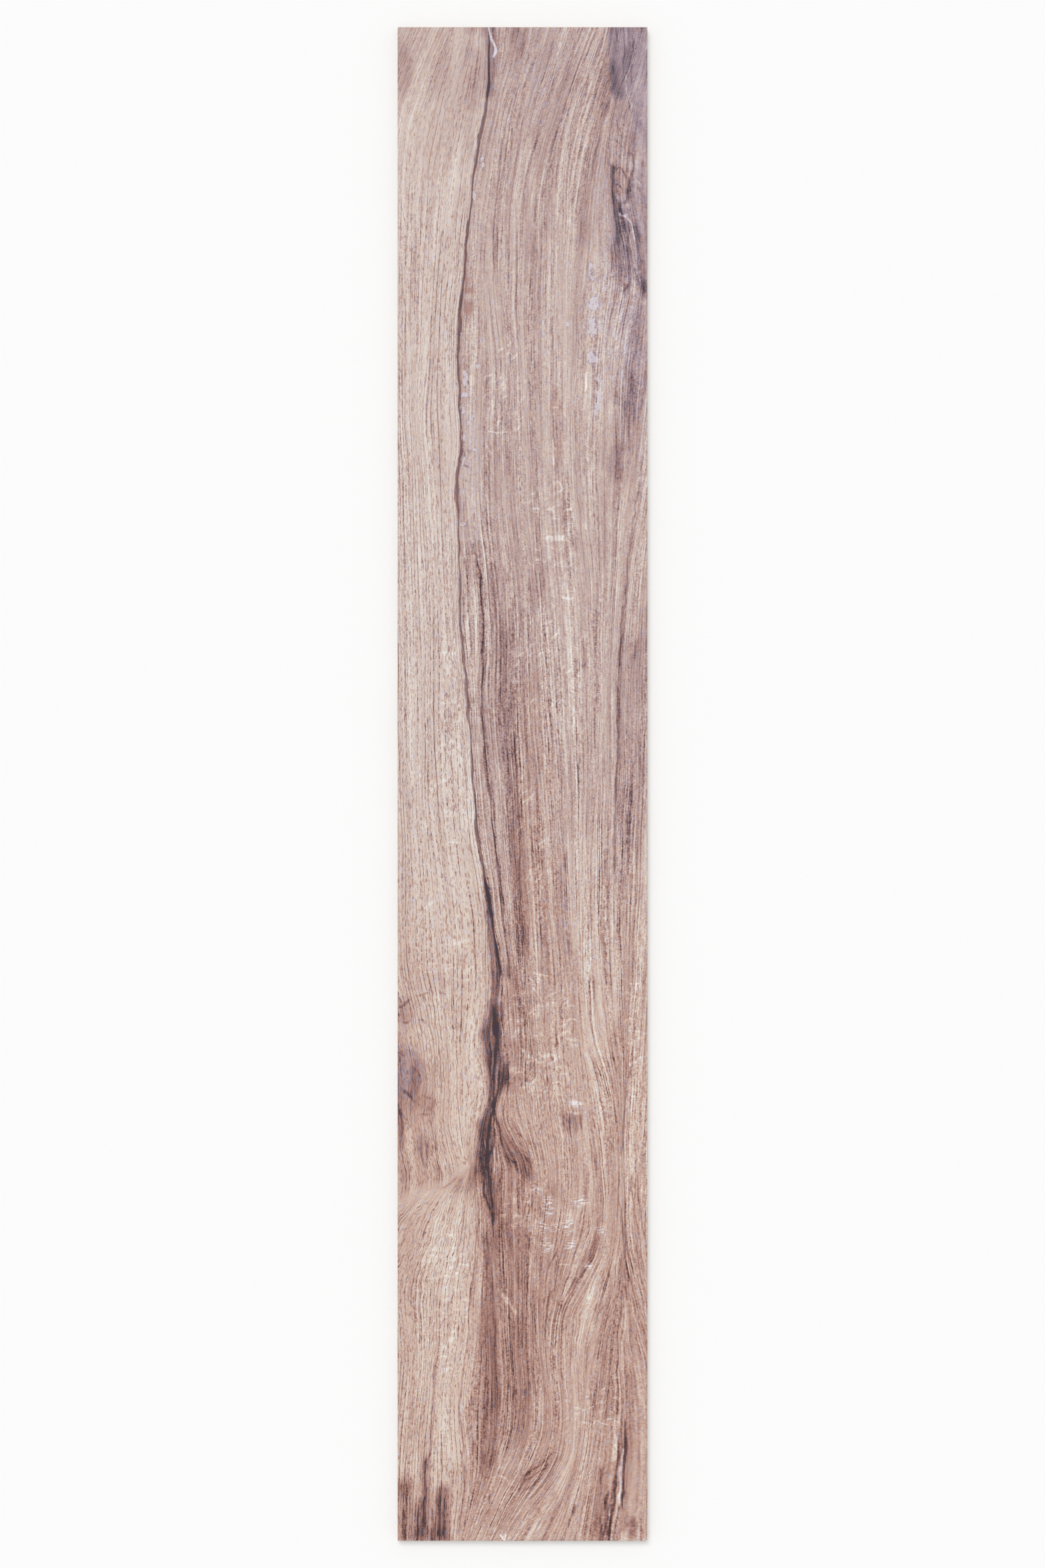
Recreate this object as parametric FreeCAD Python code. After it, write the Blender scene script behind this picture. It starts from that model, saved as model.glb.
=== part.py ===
"""Wood-look porcelain plank tile, modelled as one fired piece.

The plank lies face up. The origin is the middle of its bed plane, +X runs across the plank, +Y along its
length and +Z up through the decorated face. The four edges are ground square, with a fine bevel on the face
arris and a wider one on the back arris. The back carries a shallow lattice of pressed pockets, whose ribs and
plain rim lie on the bed plane and whose sloping walls let the adhesive key.
"""
import FreeCAD, Part
import math
import os

from FreeCAD import Vector

# Driving dimensions, in millimetres
PLANK_LENGTH = 1200.0
PLANK_WIDTH = 198.0
PLANK_THICKNESS = 10.0
FACE_BEVEL = 0.7
BACK_BEVEL = 1.0
RIM_WIDTH = 15.0
RIB_WIDTH = 4.0
POCKET_PITCH = 24.0
POCKET_DEPTH = 0.7
POCKET_WALL_SLOPE_DEG = 40.0

BED_PLANE = 0.0
FACE_PLANE = BED_PLANE + PLANK_THICKNESS


def edges_on_plane(solid, height):
    """The edges of a solid that lie wholly on the level plane at this height."""
    level = FreeCAD.Base.Precision.confusion()
    return [
        edge
        for edge in solid.Edges
        if abs(edge.BoundBox.ZMin - height) < level and abs(edge.BoundBox.ZMax - height) < level
    ]


def rectified_blank():
    """The pressed and ground slab: square edges, bevelled round the face and round the back."""
    corner = Vector(-PLANK_WIDTH / 2, -PLANK_LENGTH / 2, BED_PLANE)
    slab = Part.makeBox(PLANK_WIDTH, PLANK_LENGTH, PLANK_THICKNESS, corner)
    slab = slab.makeChamfer(FACE_BEVEL, edges_on_plane(slab, FACE_PLANE))
    return slab.makeChamfer(BACK_BEVEL, edges_on_plane(slab, BED_PLANE))


def lattice_step(span):
    """How many pockets fill a span of the back between its rims, and the step from one to the next."""
    field = span - 2 * RIM_WIDTH + RIB_WIDTH
    count = max(1, round(field / POCKET_PITCH))
    return count, field / count


def level_rectangle(width, length, height):
    """A closed rectangle on a level plane, centred on the Z axis."""
    x, y = width / 2, length / 2
    corners = [Vector(-x, -y, height), Vector(x, -y, height), Vector(x, y, height), Vector(-x, y, height)]
    return Part.makePolygon(corners + corners[:1])


def key_pocket(width, length):
    """The space of one pressed pocket: widest at the bed plane, narrowing up its sloping walls."""
    wall_run = POCKET_DEPTH * math.tan(math.radians(POCKET_WALL_SLOPE_DEG))
    mouth = level_rectangle(width, length, BED_PLANE)
    floor = level_rectangle(width - 2 * wall_run, length - 2 * wall_run, BED_PLANE + POCKET_DEPTH)
    return Part.makeLoft([mouth, floor], True, True)


def keyed_back(slab):
    """The slab with its lattice of pockets pressed into the back."""
    across, step_x = lattice_step(PLANK_WIDTH)
    along, step_y = lattice_step(PLANK_LENGTH)
    pocket = key_pocket(step_x - RIB_WIDTH, step_y - RIB_WIDTH)
    pockets = [
        pocket.translated(Vector((i - (across - 1) / 2) * step_x, (j - (along - 1) / 2) * step_y, 0))
        for i in range(across)
        for j in range(along)
    ]
    return slab.cut(Part.makeCompound(pockets))


def plank_tile():
    """The whole tile as one solid."""
    return keyed_back(rectified_blank()).Solids[0]


os.makedirs("parts", exist_ok=True)
plank_tile().exportStep("parts/plank_tile.step")
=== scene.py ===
"""Visual model of the wood look porcelain plank tile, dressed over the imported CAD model.

The plank lies face up: +X runs across it, +Y along it and +Z up through the printed face. Places on the
face are in millimetres from the middle of the plank. Tones are green levels from 0 to 255, because the
colours of the print follow their green level closely. A grain line has one place across the wood all along,
so the streaks of the print are drawn in grain coordinates: the place across and the place along.
"""
import logging
import math
from collections.abc import Mapping, Sequence
from dataclasses import dataclass, field
from enum import Enum

import bmesh
import bpy
import numpy as np
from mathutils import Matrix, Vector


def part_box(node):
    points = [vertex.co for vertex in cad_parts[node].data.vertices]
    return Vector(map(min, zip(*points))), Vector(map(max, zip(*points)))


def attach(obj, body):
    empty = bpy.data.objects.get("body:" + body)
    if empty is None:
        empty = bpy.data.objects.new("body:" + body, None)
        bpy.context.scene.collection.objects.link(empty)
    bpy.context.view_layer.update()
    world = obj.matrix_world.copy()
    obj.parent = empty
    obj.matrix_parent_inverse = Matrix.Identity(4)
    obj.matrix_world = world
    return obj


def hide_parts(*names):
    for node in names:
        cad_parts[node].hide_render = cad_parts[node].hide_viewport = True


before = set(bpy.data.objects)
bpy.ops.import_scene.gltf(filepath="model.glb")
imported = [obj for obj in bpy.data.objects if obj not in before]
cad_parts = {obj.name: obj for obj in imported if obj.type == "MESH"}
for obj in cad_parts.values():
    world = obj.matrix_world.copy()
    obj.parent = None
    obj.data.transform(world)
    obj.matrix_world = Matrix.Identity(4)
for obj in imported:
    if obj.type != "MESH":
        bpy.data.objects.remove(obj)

LOG = logging.getLogger("plank_scene")
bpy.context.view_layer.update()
MM = 0.001
FULL_LEVEL = 255.0
MIDDLE = 0.5
# The sRGB curve: a straight foot up to its knee, then a power
SRGB_KNEE = 0.04045
SRGB_FOOT = 12.92
SRGB_OFFSET = 0.055
SRGB_POWER = 2.4
# How close the points of a drawn line stand, how far round it counts, and the distance that means no line
PATH_STEP = 1.5
LINE_REACH = 3.0
NO_LINE = 9.0
# The most that lilac spots and the lilac patches of painted reflection can add up to
MOST_LILAC = 1.3
MOST_SHEEN = 1.2
# A cell of the lattice on the back is a grid of this many faces each way, ribs round a pocket
CELL_PARTS = 3

Array = np.ndarray
Point = tuple[float, float]
Span = tuple[float, float]
Half = float | tuple[float, ...]
Colour = tuple[float, float, float, float]


def linear(level: float) -> float:
    """Turns one sRGB level from 0 to 255 into linear light."""
    share = level / FULL_LEVEL
    if share <= SRGB_KNEE:
        return share / SRGB_FOOT
    return ((share + SRGB_OFFSET) / (1.0 + SRGB_OFFSET)) ** SRGB_POWER


def colour(red: float, green: float, blue: float) -> Colour:
    """Turns sRGB levels from 0 to 255 into a linear colour with full alpha."""
    return (linear(red), linear(green), linear(blue), 1.0)


def ease(value: Array, low: float, high: float) -> Array:
    """Rises smoothly from 0 at low to 1 at high, or falls where high is the smaller.

    Args:
        value: The numbers to ease.
        low: Where the result is 0.
        high: Where the result is 1.

    Returns:
        An array of shares from 0 to 1.
    """
    share = np.clip((value - low) / (high - low), 0.0, 1.0)
    return share * share * (3.0 - 2.0 * share)


def hermite(run: Array, values: Array, places: Array) -> Array:
    """Draws a smooth curve through values given at rising stations.

    Args:
        run: The stations.
        values: One row of values for each station.
        places: Where the curve is wanted. Beyond the stations it stays at its end values.

    Returns:
        One row of values for each place.
    """
    inside = np.clip(places, run[0], run[-1])
    slopes = np.gradient(values, run, axis=0)
    leg = np.clip(np.searchsorted(run, inside, side="right") - 1, 0, len(run) - 2)
    width = np.diff(run)[leg][:, None]
    share = (inside - run[leg])[:, None] / width
    blend = share * share * (3.0 - 2.0 * share)
    bend = share * (1.0 - share) * width * (slopes[leg] * (1.0 - share) - slopes[leg + 1] * share)
    return values[leg] * (1.0 - blend) + values[leg + 1] * blend + bend


class Port:
    """One output of a node, with the arithmetic that the finishes use."""

    def __init__(self, kit: "NodeKit", socket: bpy.types.NodeSocket) -> None:
        """Wraps an output socket of a tree."""
        self.kit = kit
        self.socket = socket

    def __add__(self, other: "Value") -> "Port":
        """Adds a number or another port."""
        return self.kit.maths("ADD", self, other)

    __radd__ = __add__

    def __sub__(self, other: "Value") -> "Port":
        """Takes a number or another port away."""
        return self.kit.maths("SUBTRACT", self, other)

    def __rsub__(self, other: "Value") -> "Port":
        """Takes this port away from a number."""
        return self.kit.maths("SUBTRACT", other, self)

    def __mul__(self, other: "Value") -> "Port":
        """Multiplies by a number or another port."""
        return self.kit.maths("MULTIPLY", self, other)

    __rmul__ = __mul__

    def __abs__(self) -> "Port":
        """Gives the size without the sign."""
        return self.kit.maths("ABSOLUTE", self)

    def __lt__(self, other: "Value") -> "Port":
        """Gives 1 where this port is below the other value, and 0 elsewhere."""
        return self.kit.maths("LESS_THAN", self, other)


Value = Port | float | int | str | bool | Sequence[float] | bpy.types.Material


@dataclass(frozen=True)
class Pattern:
    """Seeded noise with cells of one size in millimetres, and the span of it in which its marks appear."""

    cell: Point
    seed: float
    detail: float = 1.0
    low: float = 0.0
    high: float = 1.0


class NodeKit:
    """Adds nodes to one shader or geometry tree."""

    def __init__(self, tree: bpy.types.NodeTree) -> None:
        """Works on a tree that exists."""
        self.tree = tree

    def node(
        self,
        kind: str,
        settings: Mapping[str, object] | None = None,
        sockets: Mapping[str, Value] | None = None,
    ) -> bpy.types.Node:
        """Adds one node.

        Args:
            kind: The node's type.
            settings: Its properties, which are set first because they can change its sockets.
            sockets: Values or ports for its inputs, by socket identifier.

        Returns:
            The new node.
        """
        made = self.tree.nodes.new(kind)
        for name, setting in (settings or {}).items():
            setattr(made, name, setting)
        for key, value in (sockets or {}).items():
            target = next(socket for socket in made.inputs if socket.identifier == key)
            if isinstance(value, Port):
                self.tree.links.new(value.socket, target)
            else:
                target.default_value = value
        return made

    def port(
        self,
        kind: str,
        output: str,
        settings: Mapping[str, object] | None = None,
        sockets: Mapping[str, Value] | None = None,
    ) -> Port:
        """Adds one node and gives the output with this identifier."""
        made = self.node(kind, settings, sockets)
        return Port(self, next(socket for socket in made.outputs if socket.identifier == output))

    def maths(self, operation: str, *values: Value) -> Port:
        """Works out one operation on one to three numbers."""
        keys = ("Value", "Value_001", "Value_002")
        return self.port("ShaderNodeMath", "Value", {"operation": operation}, dict(zip(keys, values)))

    def vectors(self, operation: str, first: Value, second: Value, output: str = "Vector") -> Port:
        """Works out one operation on two vectors. The output is Value where it gives a number."""
        sockets = {"Vector": first, "Vector_001": second}
        return self.port("ShaderNodeVectorMath", output, {"operation": operation}, sockets)

    def vector(self, x: Value = 0.0, y: Value = 0.0, z: Value = 0.0) -> Port:
        """Puts three numbers together as a vector."""
        return self.port("ShaderNodeCombineXYZ", "Vector", sockets={"X": x, "Y": y, "Z": z})

    def parts(self, vector: Port) -> tuple[Port, Port, Port]:
        """Splits a vector into its three numbers."""
        made = self.node("ShaderNodeSeparateXYZ", sockets={"Vector": vector})
        first, second, third = (Port(self, socket) for socket in made.outputs)
        return first, second, third

    def rise(self, value: Port, low: Value, high: Value) -> Port:
        """Rises smoothly from 0 at low to 1 at high."""
        sockets = {"Value": value, "From Min": low, "From Max": high}
        return self.port("ShaderNodeMapRange", "Result", {"interpolation_type": "SMOOTHSTEP"}, sockets)

    def blend(self, share: Port, first: Value, second: Value) -> Port:
        """Goes from the first number at a share of 0 to the second at 1."""
        return first + (second - first) * share

    def between(self, share: Port, span: Span) -> Port:
        """Goes from the start of a span at a share of 0 to its end at 1."""
        return share * (span[1] - span[0]) + span[0]

    def noise(self, place: Port, pattern: Pattern) -> Port:
        """Draws the noise of a pattern.

        Args:
            place: The coordinates, in millimetres.
            pattern: The pattern, whose seed is its layer of the noise.

        Returns:
            Noise from 0 to 1, with its middle at a half.
        """
        across, along = pattern.cell
        scaled = self.vectors("MULTIPLY", place, (1.0 / across, 1.0 / along, 0.0))
        moved = self.vectors("ADD", scaled, (0.0, 0.0, pattern.seed))
        sockets = {"Vector": moved, "Scale": 1.0, "Detail": pattern.detail}
        return self.port("ShaderNodeTexNoise", "Fac", sockets=sockets)

    def place(self, kept: Sequence[float]) -> Port:
        """Gives object coordinates in millimetres, with only the axes that are kept."""
        place = self.port("ShaderNodeTexCoord", "Object")
        return self.vectors("MULTIPLY", place, tuple(axis / MM for axis in kept))

    def swing(self, place: Port, pattern: Pattern) -> Port:
        """Draws the noise of a pattern so that it goes up and down from 0."""
        return self.noise(place, pattern) - MIDDLE

    def marks(self, place: Port, pattern: Pattern) -> Port:
        """Draws the marks of a pattern, from 0 at the low end of its span to 1 at the high end."""
        return self.rise(self.noise(place, pattern), pattern.low, pattern.high)

    def mix(self, share: Value, first: Value, second: Value) -> Port:
        """Mixes two colours.

        Args:
            share: How much of the second colour shows.
            first: The first colour.
            second: The second colour.

        Returns:
            The mixed colour as a port.
        """
        settings = {"data_type": "RGBA", "clamp_factor": True}
        sockets = {"Factor_Float": share, "A_Color": first, "B_Color": second}
        return self.port("ShaderNodeMix", "Result_Color", settings, sockets)

    def ramp(self, level: Port, stops: Sequence[tuple[float, float, float]]) -> Port:
        """Looks a tone up in a row of colours.

        Args:
            level: The green level as a share of the full one.
            stops: sRGB colours from dark to pale, each placed at its own green level.

        Returns:
            The colour as a port.
        """
        made = self.node("ShaderNodeValToRGB", sockets={"Fac": level})
        elements = made.color_ramp.elements
        while len(elements) < len(stops):
            elements.new(MIDDLE)
        for element, stop in zip(elements, stops):
            element.position = stop[1] / FULL_LEVEL
            element.color = colour(*stop)
        return Port(self, made.outputs["Color"])

    def bump(self, height: Port, strength: float, distance: float) -> Port:
        """Turns a height into a normal, with the distance in millimetres."""
        sockets = {"Strength": strength, "Distance": distance * MM, "Height": height}
        return self.port("ShaderNodeBump", "Normal", sockets=sockets)

    def surface(self, sockets: Mapping[str, Value]) -> None:
        """Ends a material's tree with a shader that has these inputs."""
        shader = self.port("ShaderNodeBsdfPrincipled", "BSDF", sockets=sockets)
        self.node("ShaderNodeOutputMaterial", sockets={"Surface": shader})


def empty_material(name: str) -> bpy.types.Material:
    """Makes a material whose tree is still empty."""
    made = bpy.data.materials.new(name)
    made.use_nodes = True
    made.node_tree.nodes.clear()
    return made


class Print(str, Enum):
    """The attributes that carry the print from the painted features to the material."""

    GRAIN = "grain"
    TONE = "print_tone"
    TEXTURE = "print_texture"
    DARK = "dark_line"
    # Pale lines of the print, together with painted glints along crack edges
    PALE = "pale_line"
    RAY = "ray_line"
    # Painted glints along scratches and lilac patches of painted reflection
    MARKS = "print_marks"
    RELIEF = "relief_share"
    GLAZED = "glazed"

    def read(self, kit: NodeKit) -> Port:
        """Reads the attribute as a vector inside a material."""
        return kit.port("ShaderNodeAttribute", "Vector", {"attribute_name": self.value})

    def named(self, kit: NodeKit, kind: str) -> Port:
        """Reads the attribute as one kind of value inside a geometry tree."""
        settings = {"data_type": kind}
        return kit.port("GeometryNodeInputNamedAttribute", "Attribute", settings, {"Name": self.value})

    def write(self, mesh: bpy.types.Mesh, values: Array) -> None:
        """Stores the attribute on a mesh.

        Args:
            mesh: The mesh.
            values: One number or vector for each vertex.
        """
        kind, key = ("FLOAT_VECTOR", "vector") if values.ndim == 2 else ("FLOAT", "value")
        layer = mesh.attributes.new(self.value, kind, "POINT")
        layer.data.foreach_set(key, values.astype(np.float32).ravel())


@dataclass(frozen=True)
class Ripple:
    """A smooth seeded wave field that keeps traced features from looking drawn with a ruler."""

    seed: int
    size: float
    across: float
    along: float
    waves: int = 14

    def at(self, x: Array, y: Array) -> Array:
        """Gives the height of the field at many places.

        Args:
            x: Places across the plank.
            y: Places along the plank.

        Returns:
            Heights of about the field's size, up and down.
        """
        chance = np.random.default_rng(self.seed)
        total = np.zeros_like(x)
        for _ in range(self.waves):
            turn_x, turn_y = chance.normal(0.0, 1.0, 2) * math.tau / np.array([self.across, self.along])
            total += np.sin(turn_x * x + turn_y * y + chance.uniform(0.0, math.tau))
        return total * self.size * math.sqrt(2.0 / self.waves)


@dataclass(frozen=True)
class Path:
    """A smooth line over the face through given points."""

    points: tuple[Point, ...]

    def dense(self) -> Array:
        """Gives points along the line, PATH_STEP apart."""
        traced = np.array(self.points, dtype=float)
        run = np.concatenate(([0.0], np.cumsum(np.hypot(*np.diff(traced, axis=0).T))))
        places = np.linspace(0.0, run[-1], max(2, math.ceil(run[-1] / PATH_STEP) + 1))
        return hermite(run, traced, places)

    def measure(self, x: Array, y: Array, reach: float) -> tuple[Array, Array, Array, float]:
        """Measures places from the line.

        Args:
            x: Places across the plank.
            y: Places along the plank.
            reach: How far from the line places still count.

        Returns:
            The indices of the places near the line, their signed distances from it, their distances along it,
            and the line's length.
        """
        line = self.dense()
        low, high = line.min(axis=0) - reach, line.max(axis=0) + reach
        near = np.flatnonzero((x > low[0]) & (x < high[0]) & (y > low[1]) & (y < high[1]))
        px, py = x[near], y[near]
        best = np.full(px.shape, np.inf)
        side = np.zeros_like(px)
        along = np.zeros_like(px)
        run = 0.0
        for start, leg in zip(line[:-1], np.diff(line, axis=0)):
            length = math.hypot(*leg)
            from_x, from_y = px - start[0], py - start[1]
            share = np.clip((from_x * leg[0] + from_y * leg[1]) / length**2, 0.0, 1.0)
            gap = np.hypot(from_x - share * leg[0], from_y - share * leg[1])
            nearer = gap < best
            best[nearer] = gap[nearer]
            side[nearer] = np.sign(leg[0] * from_y - leg[1] * from_x)[nearer]
            along[nearer] = (run + share * length)[nearer]
            run += length
        return near, best * side, along, run


class FacePrint:
    """The painted print: one number or vector of each kind for every vertex of the plank."""

    def __init__(self, x: Array, y: Array, across: Array, spread: Array) -> None:
        """Starts from a plain print.

        Args:
            x: Places across the plank, already rippled.
            y: Places along the plank, already rippled.
            across: The place of each vertex across the grain.
            spread: How far the grain lines have moved apart, in doublings.
        """
        self.x = x
        self.y = y
        self.across = across
        self.along = y.copy()
        self.tone = np.zeros_like(x)
        self.lilac = np.zeros_like(x)
        self.rust = np.zeros_like(x)
        self.pore = np.zeros_like(x)
        self.fibre = np.zeros_like(x)
        self.spread = spread
        self.wild = np.zeros_like(x)
        # Painted light: glints along scratches, and lilac patches of painted reflection
        self.scratch_glint = np.zeros_like(x)
        self.sheen = np.zeros_like(x)
        self.lines = {name: self.no_lines() for name in (Print.DARK, Print.PALE, Print.RAY)}

    def no_lines(self) -> Array:
        """Gives an empty layer of lines: far away, thin and without ink."""
        return np.tile(np.array([NO_LINE, 1.0, 0.0]), (len(self.x), 1))

    def attributes(self) -> dict[Print, Array]:
        """Gives the print as one number or vector for each vertex and attribute, with tones as shares."""
        grain = np.column_stack((self.across, self.along, self.wild.clip(0, 1)))
        tone = np.column_stack((self.tone / FULL_LEVEL, self.lilac.clip(0, MOST_LILAC), self.rust.clip(0, 1)))
        texture = np.column_stack((self.pore.clip(0, 1), self.fibre, self.spread))
        sheen = self.sheen.clip(0, MOST_SHEEN)
        marks = np.column_stack((self.scratch_glint.clip(0, 1), sheen, np.zeros_like(self.x)))
        drawn = {Print.GRAIN: grain, Print.TONE: tone, Print.TEXTURE: texture, Print.MARKS: marks}
        return {**drawn, **self.lines}


def widths(half: Half, along: Array, length: float) -> Array:
    """Gives half the width of a line at many places.

    Args:
        half: One half width, or several that are spaced evenly along the line.
        along: The places along the line.
        length: The line's length.

    Returns:
        Half the width at each place.
    """
    stations = np.atleast_1d(half)
    return np.interp(along, np.linspace(0.0, length, len(stations)), stations)


@dataclass(frozen=True)
class Band:
    """A soft band that darkens or lightens the wood along a line."""

    points: tuple[Point, ...]
    tone: float
    half: Half = 3.0
    edge: float = 4.0
    ends: float = 20.0
    lilac: float = 0.0
    rust: float = 0.0
    fibre: float = 0.0

    def paint(self, face: FacePrint) -> None:
        """Adds the band to the print."""
        reach = np.max(self.half) + self.edge
        near, offset, along, length = Path(self.points).measure(face.x, face.y, reach)
        half = widths(self.half, along, length)
        share = ease(np.abs(offset) - half, self.edge, -self.edge / 2)
        if self.ends:
            share = share * ease(along, 0.0, self.ends) * ease(length - along, 0.0, self.ends)
        face.tone[near] += self.tone * share
        face.lilac[near] += self.lilac * share
        face.rust[near] += self.rust * share
        face.fibre[near] += self.fibre * share


@dataclass(frozen=True)
class Stain:
    """A soft oval spot."""

    centre: Point
    reach: Point
    tone: float = 0.0
    lilac: float = 0.0
    rust: float = 0.0
    tilt: float = 0.0
    soft: float = 0.7
    fibre: float = 0.0
    pore: float = 0.0
    wild: float = 0.0
    # Painted light: glints along scratches, and lilac patches of painted reflection
    scratch_glint: float = 0.0
    sheen: float = 0.0

    def share(self, face: FacePrint) -> Array:
        """Gives how much of the spot covers each vertex, from 0 to 1."""
        turn = math.radians(self.tilt)
        from_x, from_y = face.x - self.centre[0], face.y - self.centre[1]
        side = from_x * math.cos(turn) + from_y * math.sin(turn)
        rise = from_y * math.cos(turn) - from_x * math.sin(turn)
        return ease(np.hypot(side / self.reach[0], rise / self.reach[1]), 1.0, 1.0 - self.soft)

    def paint(self, face: FacePrint) -> None:
        """Adds the spot to the print."""
        share = self.share(face)
        face.tone += self.tone * share
        face.lilac += self.lilac * share
        face.rust += self.rust * share
        face.fibre += self.fibre * share
        face.pore += self.pore * share
        face.wild += self.wild * share
        face.scratch_glint += self.scratch_glint * share
        face.sheen += self.sheen * share


@dataclass(frozen=True)
class Line:
    """A thin print line or painted glint. Ink is how far its tone falls, or rises where it is below zero."""

    points: tuple[Point, ...]
    ink: float
    half: Half = 0.6
    ends: float = 8.0
    layer: Print | None = None

    def paint(self, face: FacePrint) -> None:
        """Writes the line into its layer wherever it is the nearest."""
        reach = max(LINE_REACH, np.max(self.half) + LINE_REACH / 2)
        near, offset, along, length = Path(self.points).measure(face.x, face.y, reach)
        layer = face.lines[self.layer or (Print.DARK if self.ink > 0 else Print.PALE)]
        size = np.abs(offset)
        other = layer[near, 0]
        between = (np.abs(size - np.abs(other)) < PATH_STEP) & (np.abs(other) < NO_LINE)
        if np.sum(np.sign(offset * other)[between]) < 0:
            offset = -offset
        nearer = size < np.abs(other)
        ends = min(self.ends, length / 3.0)
        fade = ease(along, 0.0, ends) * ease(length - along, 0.0, ends) * ease(size, reach, reach / 2)
        half = widths(self.half, along, length)
        values = np.column_stack((offset, half, abs(self.ink) / FULL_LEVEL * fade))
        layer[near[nearer]] = values[nearer]


@dataclass(frozen=True)
class Strokes:
    """Lines of the print, or painted glints, that share their ink and their width."""

    ink: float
    half: Half
    ends: float
    paths: tuple[tuple[Point, ...], ...]
    layer: Print | None = None

    def paint(self, face: FacePrint) -> None:
        """Draws every line."""
        for points in self.paths:
            Line(points, self.ink, self.half, self.ends, self.layer).paint(face)


@dataclass(frozen=True)
class RayFlecks:
    """Pale ray flecks strewn over an oval patch, as short curved strokes."""

    centre: Point
    reach: Point
    count: int
    seed: int
    length: Span
    lean: Span
    ink: float
    half: float = 0.6
    bend: float = 0.5
    least_ink: float = 0.5

    def paint(self, face: FacePrint) -> None:
        """Strews the strokes from the patch's own seed."""
        chance = np.random.default_rng(self.seed)
        for _ in range(self.count):
            turn = chance.uniform(0.0, math.tau)
            spread = math.sqrt(chance.uniform(0.0, 1.0)) * np.array([math.cos(turn), math.sin(turn)])
            middle = np.array(self.centre) + spread * np.array(self.reach)
            lean = math.radians(chance.uniform(*self.lean))
            half_run = np.array([math.cos(lean), math.sin(lean)]) * chance.uniform(*self.length) / 2
            bow = np.array([-half_run[1], half_run[0]]) * chance.uniform(-self.bend, self.bend)
            stroke = (tuple(middle - half_run), tuple(middle + bow), tuple(middle + half_run))
            ink = -self.ink * chance.uniform(self.least_ink, 1.0)
            Line(stroke, ink, self.half, LINE_REACH, Print.RAY).paint(face)


@dataclass(frozen=True)
class Guide:
    """One grain line traced down the face: its place across the grain, and places across by places along."""

    across: float
    points: Mapping[float, float]

    def at(self, y: Array) -> Array:
        """Gives where the line crosses many places along the plank."""
        traced = np.array(sorted(self.points.items()), dtype=float)
        return hermite(traced[:, 0], traced[:, 1:], y)[:, 0]


# Where the seam between pale and brown wood runs: places across by places along
SEAM = {
    600: -28, 580: -27, 550: -27.5, 523: -31, 512: -34, 490: -38, 465: -40.5, 430: -44.2, 400: -47.2,
    370: -50.4, 335: -51.2, 300: -49.9, 278: -48.9, 265: -49.3, 250: -51.3, 235: -52, 222: -51.6, 205: -50.7,
    190: -50.3, 150: -49.5, 105: -47, 70: -44, 25: -40.5, 0: -38.5, -45: -35, -85: -28.5, -105: -26,
}

SEAM_GUIDE = Guide(-50, {y: x - 1 for y, x in SEAM.items()} | {
    -130: -26, -170: -26, -200: -29, -220: -29, -240: -27, -270: -33, -300: -38, -340: -36, -370: -37,
    -400: -41, -440: -43.5, -480: -49, -550: -47, -600: -51,
})

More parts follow.
